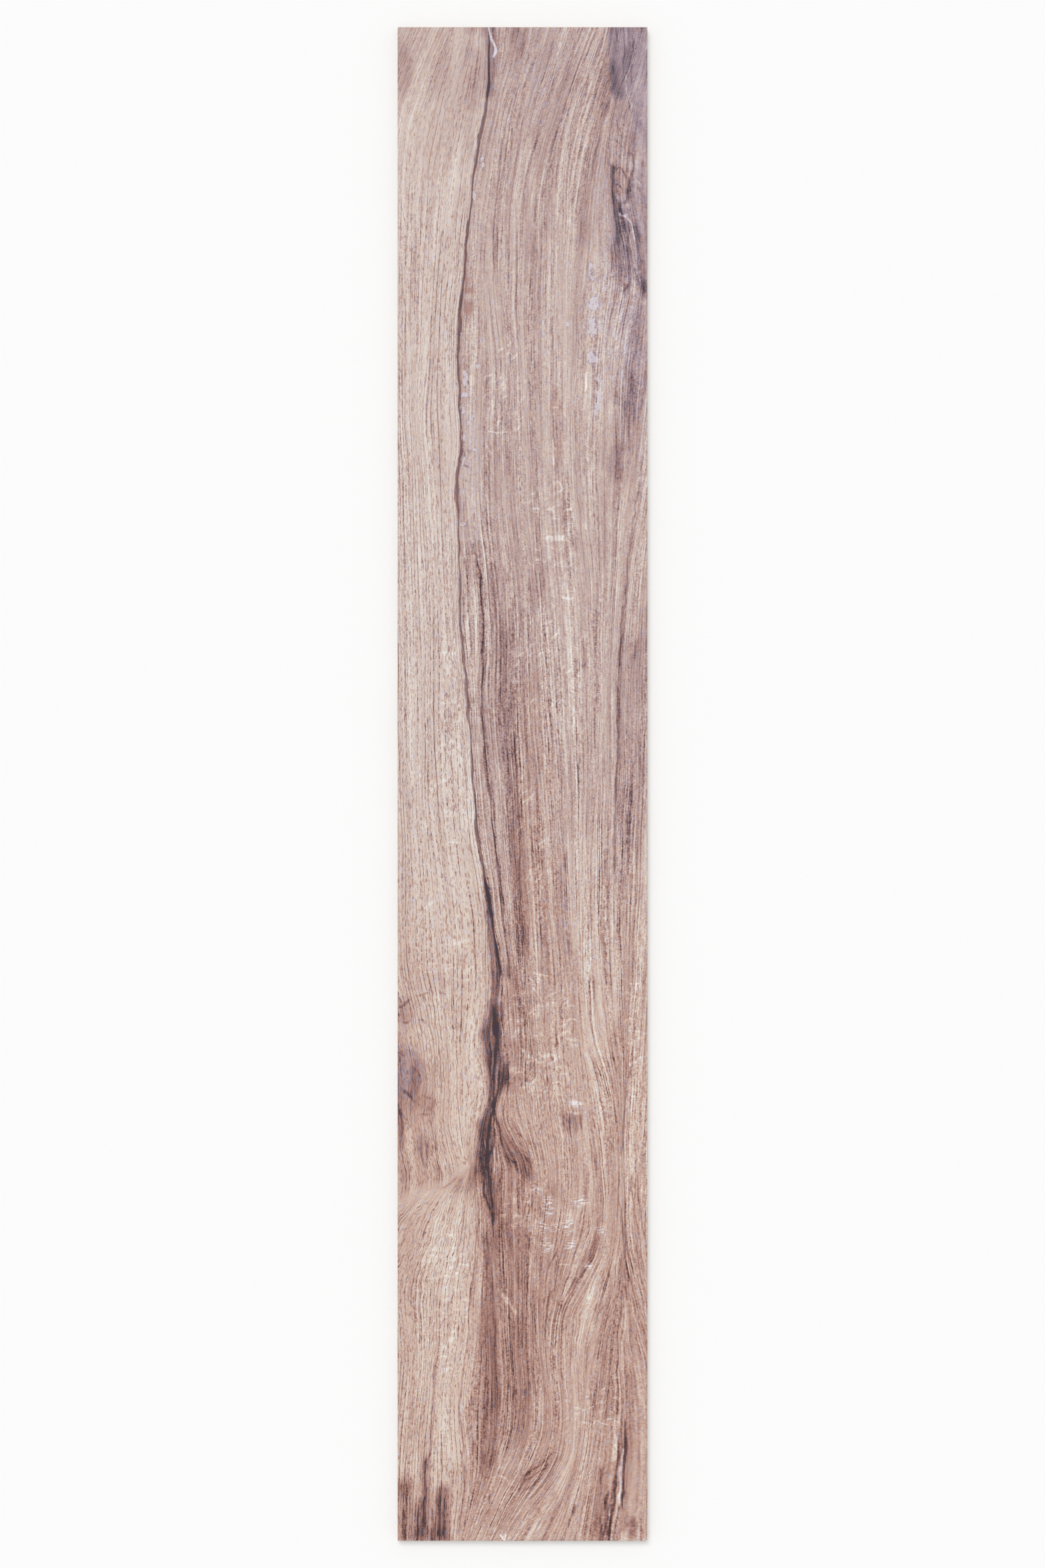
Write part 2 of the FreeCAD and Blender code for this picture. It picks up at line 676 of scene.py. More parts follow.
GUIDES = (
    Guide(-96, {
        600: -66, 575: -77, 550: -86, 520: -95, 500: -98, 450: -100, 300: -101, 220: -98, 100: -95, 0: -93,
        -100: -91, -150: -89, -180: -82, -210: -77, -235: -75, -260: -76, -290: -74, -312: -70, -330: -72,
        -360: -84, -400: -92, -450: -92, -500: -95, -550: -98, -600: -101,
    }),
    Guide(-70, {
        600: -41, 575: -46, 540: -54.5, 518: -59, 500: -62.5, 450: -68, 390: -72, 340: -74, 300: -76,
        220: -73, 150: -69, 0: -66, -50: -62, -90: -57, -120: -54, -150: -52, -210: -53, -240: -53, -265: -52,
        -285: -49, -303: -45, -320: -46, -350: -58, -450: -67, -500: -72, -540: -75, -600: -77,
    }),
    SEAM_GUIDE,
    Guide(-36, SEAM | {
        -125: -22.5, -150: -20, -180: -22.5, -240: -20.5, -265: -24, -300: -24, -352: -24, -420: -22,
        -490: -20, -520: -22, -550: -28, -575: -36, -600: -44,
    }),
    Guide(-12, {y: x + 1.5 for y, x in SEAM.items()} | {
        -125: -20, -150: -17, -180: -18.5, -200: -16, -222: -13, -240: -13, -262: -16, -280: -10, -300: 0,
        -330: 2, -360: 2, -450: 2, -490: 3, -515: 0, -535: -8, -575: -26, -600: -37,
    }),
    Guide(0, {
        600: -5, 575: -10, 550: -16, 525: -21, 500: -26, 475: -30, 440: -34, 400: -36, 350: -37, 300: -38,
        260: -40, 230: -40, 200: -38, 182: -36, 160: -33.5, 115: -31, 75: -32, 45: -30.5, 0: -26.5, -50: -22,
        -95: -17, -150: -10, -210: -6, -235: -6, -255: -3, -275: 2, -300: 9, -330: 11, -360: 9, -400: 7,
        -450: 8, -490: 10, -515: 8, -535: 1, -575: -19, -600: -30,
    }),
    Guide(22, {
        600: 6, 565: -3, 528: -12, 490: -17, 450: -22, 400: -22.5, 350: -18, 320: -16.5, 250: -17, 215: -15,
        150: -9.5, 60: -7.5, 0: -4, -60: -1, -110: 3, -150: 5, -210: 9, -240: 10, -265: 13, -300: 19,
        -330: 20, -370: 16, -400: 14, -450: 15, -490: 18, -515: 17, -535: 10, -575: -12, -600: -25,
    }),
    Guide(52, {
        600: 50, 570: 40, 535: 28, 500: 17, 470: 11, 430: 8.5, 300: 8, 235: 12, 195: 14.5, 150: 18.5, 80: 23,
        0: 28, -60: 31, -145: 36, -210: 39, -240: 42, -300: 47, -330: 47, -355: 44, -400: 31, -425: 25,
        -450: 23, -515: 25, -535: 20, -575: -4, -600: -20,
    }),
    Guide(64, {
        600: 60, 575: 51, 535: 38, 500: 29, 430: 26, 300: 26, 200: 29, 100: 36, 0: 40, -100: 42, -180: 45,
        -225: 50, -275: 58, -300: 61, -350: 62, -372: 57, -390: 48, -418: 33, -450: 30, -510: 33, -533: 30,
        -550: 20, -570: 5, -600: -15,
    }),
    Guide(77, {
        600: 82, 575: 78, 545: 69, 510: 60, 475: 54, 400: 48, 300: 42, 250: 42, 200: 46, 150: 51, 50: 53,
        -100: 51, -170: 53, -205: 56, -238: 66, -260: 70, -340: 72, -370: 70, -400: 63, -450: 50, -530: 46,
        -565: 36, -600: 22,
    }),
    Guide(87, {
        600: 96, 570: 88, 550: 80, 510: 72, 490: 71, 440: 73, 415: 75.5, 395: 75, 375: 72, 350: 68.5, 300: 66,
        200: 66, 100: 64, -75: 62, -150: 63, -210: 70, -240: 74, -370: 75, -400: 69, -450: 57, -530: 50,
        -570: 41, -600: 31,
    }),
    Guide(95, {
        600: 104, 560: 92, 530: 84, 500: 80, 470: 79, 440: 84, 415: 89, 395: 90, 375: 86.5, 350: 82, 320: 79,
        262: 78, 235: 77, 200: 75, 150: 72, 100: 69.5, 0: 68, -75: 67, -150: 67.5, -210: 73, -240: 76.5,
        -298: 76.5, -370: 77, -400: 72, -450: 61.5, -530: 53, -570: 44.5, -600: 36.5,
    }),
    Guide(106, {
        600: 125, 500: 112, 420: 110, 380: 108, 340: 105, 300: 101.5, 262: 96.5, 222: 90, 180: 84, 120: 79,
        80: 76, 20: 75.5, -30: 73, -110: 71.5, -180: 74, -240: 79, -298: 78, -380: 79, -405: 75, -450: 66,
        -530: 56, -570: 48, -600: 42,
    }),
    Guide(116, {
        600: 135, 500: 122, 400: 119, 300: 111, 262: 106, 200: 95, 100: 86, 0: 84, -100: 80, -200: 81.5,
        -250: 80.7, -298: 79.3, -400: 80, -500: 80, -530: 81, -585: 77, -600: 75,
    }),
    Guide(128, {
        600: 147, 500: 134, 400: 131, 300: 122, 262: 117, 200: 106, 100: 98, 0: 96, -100: 92, -200: 86,
        -250: 82.5, -298: 80.5, -340: 81, -375: 84, -415: 93, -450: 104, -600: 108,
    }),
)


@dataclass(frozen=True)
class GrainField:
    """Grain coordinates worked out from the traced grain lines."""

    guides: tuple[Guide, ...] = GUIDES
    least_gap: float = 0.6
    least_rate: float = 0.1

    def at(self, x: Array, y: Array) -> tuple[Array, Array]:
        """Gives grain coordinates at many places on the face.

        Args:
            x: Places across the plank.
            y: Places along the plank.

        Returns:
            Places across the grain, and how far the grain lines have moved apart, in doublings.
        """
        places = np.array([guide.at(y) for guide in self.guides])
        for row in range(1, len(places)):
            places[row] = np.maximum(places[row], places[row - 1] + self.least_gap)
        numbers = np.array([guide.across for guide in self.guides], dtype=float)
        rates = np.diff(numbers)[:, None] / np.diff(places, axis=0)
        inner = 2.0 * rates[1:] * rates[:-1] / (rates[1:] + rates[:-1])
        slopes = np.concatenate((np.ones_like(rates[:1]), inner, np.ones_like(rates[:1])))
        across = np.where(x < places[0], numbers[0] + x - places[0], numbers[-1] + x - places[-1])
        rate = np.ones_like(x)
        for row, step in enumerate(np.diff(numbers)):
            width = places[row + 1] - places[row]
            share = (x - places[row]) / width
            rest = 1.0 - share
            inside = (share >= 0.0) & (rest > 0.0)
            bend = share * rest * width * (slopes[row] * rest - slopes[row + 1] * share)
            curve = numbers[row] + step * share * share * (3.0 - 2.0 * share) + bend
            steep = 6.0 * rates[row] * share * rest
            steep += slopes[row] * rest * (1.0 - 3.0 * share) + slopes[row + 1] * share * (3.0 * share - 2.0)
            across = np.where(inside, curve, across)
            rate = np.where(inside, steep, rate)
        return across, -np.log2(rate.clip(self.least_rate))


@dataclass(frozen=True)
class Crotch:
    """Grain that fans out to the left below an arc and joins the straight grain further down."""

    arc: tuple[Point, ...]
    seam: Guide
    start: float
    fade: float
    pitch: float
    end: float
    blend: float
    calm: float

    def paint(self, face: FacePrint) -> None:
        """Turns the grain below the arc and calms the print along it."""
        places = np.array(self.arc, dtype=float)
        below = hermite(places[:, 0], places[:, 1:], face.x)[:, 0] - face.y
        left = face.across < self.seam.across
        opened = self.pitch * (1.0 - np.exp(-(self.start - face.y).clip(1.0) / self.fade))
        fan = self.seam.across + (face.x - self.seam.at(face.y)) / opened
        share = ((below > 0.0) & left) * ease(face.y, self.end, self.end + self.blend)
        face.across += (fan - face.across) * share
        face.spread += (np.log2(opened) - face.spread) * share
        calm = np.exp(-((below / self.calm) ** 2)) * left
        face.pore *= 1.0 - calm
        face.fibre *= 1.0 - calm / 2


CROTCHES = (
    Crotch(
        arc=((-99, -331), (-75, -323), (-60, -318), (-50, -309), (-38, -300)),
        seam=SEAM_GUIDE,
        start=-296.0,
        fade=44.0,
        pitch=1.3,
        end=-430.0,
        blend=60.0,
        calm=6.0,
    ),
)

# Each band: points, tone, half width, edge, ends, lilac, rust and fibre
BANDS = (
    # The head, left of the seam
    Band(((-52, 604), (-50, 560), (-58, 500)), -12, 16, 12, 0),
    Band(((-38, 590), (-38, 560), (-42, 530)), -24, 5, 8, 12),
    Band(((-99, 600), (-84, 590)), -14, 12, 14, 0),
    # The head, right of the seam
    Band(((-28, 604), (-25, 580), (-26, 548)), -42, (5, 3), 4, 0, 0.3),
    Band(((-2, 604), (-3, 575)), -24, 5, 5, 8),
    Band(((42, 578), (33, 550), (22, 515), (13, 485), (9, 455), (8, 400)), -17, (3, 2), 3, 20),
    Band(((50, 565), (40, 540)), -10, 4, 5, 10),
    Band(((70, 575), (62, 545), (57, 505), (54, 480)), -18, 5, 6),
    Band(((52, 500), (48, 460), (47, 415)), -18, 4, 5),
    Band(((48, 530), (44, 500)), 10, 4, 5, 12),
    Band(((-30, 500), (-32, 440), (-36, 380), (-38, 320)), 11, 5, 6, 25),
    Band(((-20, 430), (-16, 360), (-10, 300)), 12, 5, 6, 20),
    Band(((32, 490), (32, 420), (28, 360), (31, 300), (34, 210)), 12, (9, 9, 7, 5), 8, 30),
    Band(((60, 430), (62, 390), (70, 350)), 15, 9, 8, 20),
    Band(((50, 335), (51, 300), (54, 250), (56, 200)), 8, 4, 5, 15),
    Band(((26, 320), (26, 300), (26.5, 270), (27.5, 243)), -22, (2, 2.4, 2.4, 1.6), 2, 8, 0, 0.3),
    # The seam's right side
    Band(((-47.5, 399), (-41, 398)), -24, 3, 2, 2, 0, 0.6, -0.5),
    Band(((-47.5, 391), (-38, 391)), -36, 2.4, 1.5, 1.5, 0, 0.6, -0.5),
    Band(((-47.5, 378), (-38, 377)), -38, 5, 2, 2, 0, 0.6, -0.5),
    Band(((-41, 312), (-40, 240), (-42, 178)), 7, 6, 6, 25, 0.25, 0, -0.3),
    Band(((-26, 300), (-24, 220)), -9, 5, 5, 15),
    Band(((-36, 160), (-33, 80)), 11, 4, 5, 15),
    # The left strip
    Band(((-75, 250), (-72, 120)), 7, 18, 14, 50),
    Band(((-52, 130), (-50, 60), (-48, 0), (-48, -80), (-50, -150)), 12, 8, 8, 30),
    # The brown middle
    Band(((-24, 195), (-22, 120), (-20, 60), (-16, 0)), -18, 9, 8, 30),
    Band(((-14, 145), (-13, 60), (-11, 20), (-6, -30), (-2, -90), (2, -150)), -32, (5, 5, 4), 4, 30),
    Band(((5, 100), (8, 40), (10, -60), (14, -130)), -11, 14, 8, 30, 0, 0.3),
    Band(((12, 200), (12, 130)), -14, 7, 6, 20),
    Band(((33, 200), (36, 90), (32, 0)), 12, (8, 8, 5), 8, 40),
    Band(((48, 95), (46, 30)), 11, 6, 6, 20),
    Band(((48, -20), (47, -90), (50, -150)), 14, 11, 7, 40),
    Band(((56, -110), (56, -165), (59, -235)), 24, 7, 6, 25),
    Band(((31, -35), (33, -100), (36, -145)), -14, 2, 2, 15, 0.3),
    Band(((3, -130), (3, -180), (0, -240)), -16, 8, 8, 20),
    # The right edge
    Band(((88, 140), (86, 70), (88, 0), (84, -60)), -20, 10, 9, 30, 0.15),
    Band(((80, 10), (80, -40), (76, -90)), -12, 6, 5, 20, 0.2),
    Band(((75, -150), (78, -220), (78, -300)), -16, 4, 6, 30),
    Band(((78, 275), (75, 262), (74, 235)), -30, 4, 5, 10, 0.3),
    Band(((88, 400), (87, 340), (86, 270)), -24, (7, 6, 4), 7, 30, 0.35),
    # The stain at the head's right corner
    Band(((77, 608), (77, 575), (76, 549)), -40, (8, 7.5, 4.5), 4, 0, 1.2),
    Band(((91, 608), (91, 565), (93, 532), (101, 508)), -24, (8, 8, 6, 4), 5, 0, 1.2),
    Band(((72, 578), (72.5, 561), (72.5, 544)), -30, (1.5, 3, 2), 4, 8),
    Band(((67, 588), (66.5, 565), (66, 545), (64, 528)), -17, (2.5, 3, 3, 2), 4, 10),
    # The right knot and its cracks
    Band(
        ((71.3, 493), (71.2, 483), (72, 473), (73.2, 464), (74.3, 455), (75.2, 446)),
        -56, (1, 1.5, 1.3, 1.4, 1.2), 2, 4, 0.5,
    ),
    Band(
        ((75.4, 448), (76, 440), (77.2, 434), (75, 428), (72.6, 425)),
        -52, (0.8, 1.4, 2.4, 2, 1), 2.5, 4, 0.5,
    ),
    Band(((78.5, 492), (79.5, 476), (78.5, 463)), -20, (4, 4.5, 3), 3, 5, 0, 0.5),
    Band(
        ((84.6, 482), (84.6, 468), (82.6, 461.5), (78.6, 459.5), (77.6, 453)),
        -46, (0.4, 0.7, 1.3, 1, 0.8), 1.6, 3, 0.4,
    ),
    Band(((80, 457), (84, 452)), -24, 2.5, 3, 2, 0.6),
    Band(((78.5, 446), (83, 442), (85, 436)), -34, (2, 2.5, 2), 3, 4, 0.2),
    Band(
        ((88.6, 445), (91, 436), (91.8, 426), (91.5, 414), (90.5, 404)),
        -40, (1.2, 1.2, 1.4, 1.6, 2), 2, 4, 0.5,
    ),
    Band(((90.5, 405), (93, 400), (96.5, 394), (101, 384)), -46, (2.2, 2.6, 2.6, 2.4), 2.5, 3, 0.5),
    Band(((76.5, 428), (77.8, 416), (79, 402), (80, 391)), -36, (2, 2.4, 2.6, 1.2), 3, 5, 0.2),
    Band(((81.5, 412), (82, 404)), -20, 2, 2.5, 3),
    Band(
        ((84, 428), (84.6, 414), (85, 404), (83.6, 395), (81.4, 388)),
        -50, (0.8, 1.2, 1.5, 1.3, 1), 1.8, 4, 0.5,
    ),
    Band(((72.2, 426), (72.2, 414), (70.6, 404)), -32, (1, 1.2, 0.8), 1.8, 5),
    Band(((94, 502), (93, 460), (96, 415)), -22, 5, 6, 20, 0.4),
    # The long crack
    Band(((-31, -62), (-28, -85), (-26, -108)), -34, (0.8, 1.5, 2.5), 2.5, 6, 0.35),
    Band(
        ((-30.5, -72), (-28, -92), (-26.5, -105), (-24.5, -120), (-22.5, -135), (-21.5, -148), (-22, -160),
         (-23, -174)),
        -60, (1.2, 1.8, 2.2, 2.8, 3.4, 3.8, 3.2, 2), 2, 8, 0.45,
    ),
    Band(((-18.5, -170), (-18.5, -205), (-18.4, -222), (-20, -241)), -50, (2.2, 2.8, 2.8, 1.8), 2.5, 8, 0.4),
    Band(
        ((-23.6, -168), (-24.6, -185), (-25.2, -197), (-25.6, -210), (-24.8, -225), (-24.4, -240),
         (-24.8, -257)),
        -74, (1.6, 3.6, 5.5, 4.8, 3, 2.4, 2), 3.5, 5, 0.5,
    ),
    Band(
        ((-24, -250), (-27, -268), (-28.5, -285), (-29.5, -300), (-27.5, -312), (-25.5, -325), (-24, -338),
         (-23.3, -352)),
        -72, (1.8, 4, 4.5, 4.8, 3.5, 3, 1.5, 0.6), 3, 6, 0.5,
    ),
    Band(
        ((-13.6, -219), (-14, -231), (-17, -241), (-20.4, -250), (-23.6, -259)),
        -66, (0.8, 2.6, 2.4, 1.6, 1.2), 2.2, 4, 0.5,
    ),
    Band(((-33, -262), (-33.5, -285), (-35.5, -300), (-33, -313)), -42, (1.5, 2, 3, 2), 4, 8, 0.3),
    Band(((-20, -262), (-14, -282), (-7, -295), (2, -304), (4, -318)), -42, (1, 2.5, 6, 5, 3), 4, 8, 0.1),
    Band(((-18, -300), (-18, -380)), -20, 4, 5, 20),
    # The crotch and the left edge
    Band(((-99, -312), (-60, -314), (-45, -312)), -16, 8, 8, 8, 0, 0.2),
    Band(((-97, -330), (-95, -400), (-96, -450), (-97, -540)), -18, 8, 9, 15, 0, 0.2),
    # The heart of the wood
    Band(((-26, -345), (-26, -400), (-27, -450), (-28, -500), (-28, -552)), -48, (3, 5, 6, 8, 7), 4, 20),
    Band(((-8, -330), (-6, -400), (-6, -450), (-6, -490), (-14, -545)), -32, (8, 10, 14, 13, 6), 7, 30),
    Band(((-4, -415), (-3, -450), (-2, -490), (4, -525)), -14, (9, 9, 9, 6), 6, 15),
    Band(((22, -310), (24, -360), (20, -400), (19, -450)), -20, 10, 10, 30),
    Band(((-46, -455), (-45, -505)), 12, 3, 4, 15),
    # The lower right
    Band(((54, -372), (47, -385), (40, -400)), -26, (3, 4), 5, 8),
    Band(((64, -385), (54, -415), (48, -450)), 16, 4, 5, 20),
    Band(((76, -392), (66, -430), (63, -470), (63, -510), (62, -550), (57, -604)), -20, (5, 5, 6), 6, 12),
    Band(((82, -345), (81, -405)), -15, 4, 6, 15),
    Band(((76, -420), (70, -460), (68, -510)), -20, 5, 7, 25),
    Band(((82, -455), (83, -500), (80, -545), (71, -604)), -34, (3, 4, 7), 5, 15),
    Band(((-4, -556), (12, -546), (28, -531)), -13, (5, 7, 1.5), 3, 4),
    Band(((50, -378), (56, -370), (60, -360)), -18, 3, 4, 6),
    Band(((18, -430), (22, -520), (6, -560), (-20, -590)), -14, 7, 8, 30),
    # The foot
    Band(((-77, -528), (-77, -560), (-78, -604)), -56, (1.5, 3.5, 4), 4, 12, 0.2),
    Band(((-63, -552), (-65, -604)), -66, (3, 7), 4, 8, 0.2),
    Band(((-84, -562), (-82, -604)), -34, 4, 5, 10, 0.2),
    Band(((-99, -548), (-94, -604)), -46, 8, 8, 10),
    Band(((-48, -530), (-54, -604)), -14, 10, 8, 20),
)

# Spots that change the tone alone: middle across and along, reach across and along, and tone
TONE_SPOTS = (
    # The head
    (-42, 602, 12, 10, -16), (-15, 597, 25, 14, -14), (82, 592, 14, 10, 14), (-20, 588, 6, 9, -12),
    (-70, 585, 6, 12, 12), (-4, 572, 14, 14, -12), (-44, 572, 8, 10, 9), (-97, 568, 14, 30, -26),
    (-66, 566, 16, 32, -14), (-94, 562, 14, 38, -12), (54, 556, 6, 16, 16), (92, 556, 9, 22, 8),
    (95, 550, 7, 16, 12), (76, 540, 8, 26, -12), (84, 532, 6, 16, -18), (-43, 532, 7, 12, -11),
    (-31, 530, 7, 26, 10), (-46, 524, 6, 10, -9), (77, 520, 13, 28, -8), (86, 512, 6, 8, -22),
    (86, 503, 14, 8, -16), (88, 499, 14, 7, -10), (-22, 495, 10, 16, 10), (-48, 488, 13, 24, 12),
    (32, 488, 10, 22, 9), (6, 480, 4, 30, 8), (86, 478, 6, 9, 10), (8, 475, 6, 48, 12), (74, 466, 6, 10, -14),
    (78, 466, 9, 12, -10), (75.5, 464, 5, 9, -14), (-49, 440, 4, 30, 8), (-60, 430, 6, 14, -8),
    (87, 430, 8, 20, -20), (26, 422, 16, 14, 8), (98, 418, 8, 26, -16), (-86, 415, 8, 30, -10),
    (94, 400, 9, 20, -14),
    # The upper middle
    (82, 399, 1.8, 4, 16), (72, 397, 2.5, 8, 12), (67, 393, 8, 8, 10), (86.8, 393, 3, 9, 16),
    (8, 370, 5, 60, 8), (57, 362, 9, 12, 9), (78, 350, 8, 16, 14), (64, 350, 10, 18, 16), (8, 345, 6, 22, 14),
    (88, 336, 6, 18, 16), (58, 336, 7, 14, 13), (64, 325, 9, 26, 8), (-37, 318, 8, 12, 10),
    (32, 300, 6, 20, 11), (58, 298, 13, 32, 13), (72, 295, 7, 14, 20), (80, 290, 12, 34, -14),
    (-92, 290, 9, 70, 7), (-71, 290, 6, 55, 7), (25, 285, 7, 32, -8), (60, 246, 8, 12, 9),
    (60, 245, 8, 40, 7), (97, 240, 9, 40, 14), (-58, 228, 6, 16, 9), (35, 222, 5, 16, 9),
    (-38, 218, 6, 24, 10), (37, 208, 6, 24, 14), (75, 206, 5, 16, 9), (23, 190, 11, 24, 14),
    (-47, 152, 5, 14, -14),
    # The middle
    (-46, 145, 6, 18, -12), (97, 135, 9, 14, -14), (-45, 128, 10, 16, 12), (-52, 62, 12, 44, -11),
    (-30, 60, 13, 48, 9), (-48, 55, 7, 24, 8), (97, 45, 7, 24, 13), (-37, 40, 6, 14, -16),
    (-46, 38, 9, 12, -9), (-13, -10, 9, 20, -16), (35, -10, 6, 20, 8), (95, -17, 8, 12, 14),
    (-44, -28, 10, 24, 8), (73, -36, 5, 22, 16), (-13, -36, 9, 16, -14), (-42, -50, 8, 26, -9),
    (92, -52, 8, 16, -9), (-15, -60, 12, 12, -14), (13, -95, 6, 34, 13), (75, -100, 6, 36, -12),
    (62, -100, 6, 22, 14), (96, -120, 6, 25, -7), (28, -132, 11, 46, -11), (-72, -145, 14, 16, -8),
    (-18, -145, 7, 25, -9),
    # The lower middle
    (-90, -155, 16, 44, -12), (-22, -158, 8, 16, -16), (-10, -165, 12, 40, -12), (74, -170, 8, 40, 10),
    (-14, -171, 8, 9, -18), (72, -175, 8, 18, 10), (92, -178, 7, 24, -12), (-37, -190, 9, 13, 8),
    (87, -196, 8, 9, -9), (90, -205, 10, 50, 8), (-96, -205, 6, 35, -9), (-12, -206, 8, 10, -14),
    (-12, -212, 6, 14, -18), (-65, -226, 12, 14, -10), (-17, -228, 6, 22, -9), (-17, -235, 6, 15, -14),
    (-8, -236, 16, 12, -18), (60, -255, 14, 50, 9), (-85, -256, 22, 24, -12), (28, -257, 6, 9, -14),
    (99, -258, 6, 24, 18), (37, -262, 13, 14, -9), (-9, -264, 7, 8, 12), (-30, -268, 16, 20, -10),
    (97, -270, 5, 30, 8), (88, -275, 11, 54, 14), (-20, -282, 8, 12, -14), (-40, -290, 7, 30, -14),
    (-75, -300, 20, 20, -4), (-97, -310, 10, 30, -24), (-38, -314, 9, 16, -14), (97, -320, 7, 22, 18),
    (-36, -320, 9, 20, -8), (22, -322, 7, 11, -14), (-88, -328, 16, 8, -10), (-30, -332, 8, 14, -16),
    (16, -336, 9, 16, -14), (33, -340, 15, 13, 11), (36, -345, 10, 16, 16), (-85, -345, 20, 24, -6),
    (-20, -345, 34, 44, -11), (95, -360, 6, 25, 9), (-62, -365, 16, 50, 8), (12, -374, 7, 22, -12),
    (38, -396, 8, 10, -12),
    # The foot
    (82, -420, 10, 64, -15), (44, -424, 9, 22, -14), (-66, -425, 12, 26, -13), (-84, -428, 12, 22, 9),
    (-66, -444, 9, 12, -9), (-43, -465, 7, 40, 9), (-56, -470, 14, 26, -9), (40, -470, 6, 50, -10),
    (26, -475, 6, 26, 16), (5, -482, 7, 12, -14), (-38, -482, 6, 30, -9), (61, -488, 9, 32, -9),
    (-25, -508, 6, 16, 12), (-80, -510, 9, 36, -13), (-24, -518, 9, 26, 11), (4, -527, 8, 14, -15),
    (98, -530, 7, 16, 18), (95, -535, 8, 20, -14), (-28, -542, 12, 12, -14), (-99, -545, 6, 16, -10),
    (-5, -550, 18, 14, -10), (12, -551, 11, 12, 8), (-97, -556, 18, 14, -24), (22, -560, 8, 10, -12),
    (-28, -568, 11, 32, -15), (62, -572, 8, 40, -15), (20, -572, 16, 18, -9), (83, -582, 8, 15, -13),
    (-10, -585, 16, 14, -9), (54, -588, 8, 11, -11), (85, -588, 9, 12, -20), (-78, -588, 10, 8, 12),
    (92, -590, 12, 14, -13), (86, -592, 8, 14, -12),
)
# Places of painted glints along pale scratches: middle, reach and strength
SCRATCH_GLINT_SPOTS = (
    (21, -335, 7, 12, 1.3), (15.5, -351, 5, 10, 1.2), (27, -352, 9, 4, 1), (37, -351, 6, 11, 1),
    (45, -331, 10, 5, 1.2), (19, -366, 8, 9, 0.9), (38, -366, 8, 7, 0.9), (61, -354, 5, 6, 1),
    (52, -382, 6, 4, 1), (42, -254, 9, 4, 0.6),
)
# Places of lilac patches of painted reflection: middle, reach and strength
SHEEN_SPOTS = (
    (54, 406, 5, 12, 0.95), (57, 381, 7, 10, 1.2), (55, 362, 7, 13, 1.05), (55, 337, 8, 9, 1.1),
    (59.5, 308, 5.5, 32, 1.05), (-45.5, 322, 3.5, 12, 1.2), (-46.5, 308.4, 5, 4, 1.3), (-42, 304, 3, 3, 1.2),
    (-47.2, 296, 2.2, 6, 1.3), (-42.8, 287, 3, 3, 1.2), (-46, 275, 2.2, 6, 1.1), (-41.6, 271, 1.8, 7, 1.1),
    (-47, 258, 2.2, 8, 1.2), (-42.4, 256, 1.8, 5, 1.1), (-38.5, 265, 3, 3.5, 1), (-46.8, 231, 1.8, 7, 1.1),
    (-47, 206, 4, 3.5, 1), (-38.7, 292, 3, 8, 0.8), (-36, 331, 3, 4, 1.1), (-31.5, 494, 4, 8, 1.2),
    (-38.4, 466, 2.6, 10, 1.2), (-37, 449, 2.2, 8, 1), (17.5, 365, 3.5, 4.5, 1), (35.5, 364.5, 3.2, 3, 1),
    (15, 353, 1.8, 6, 1),
)

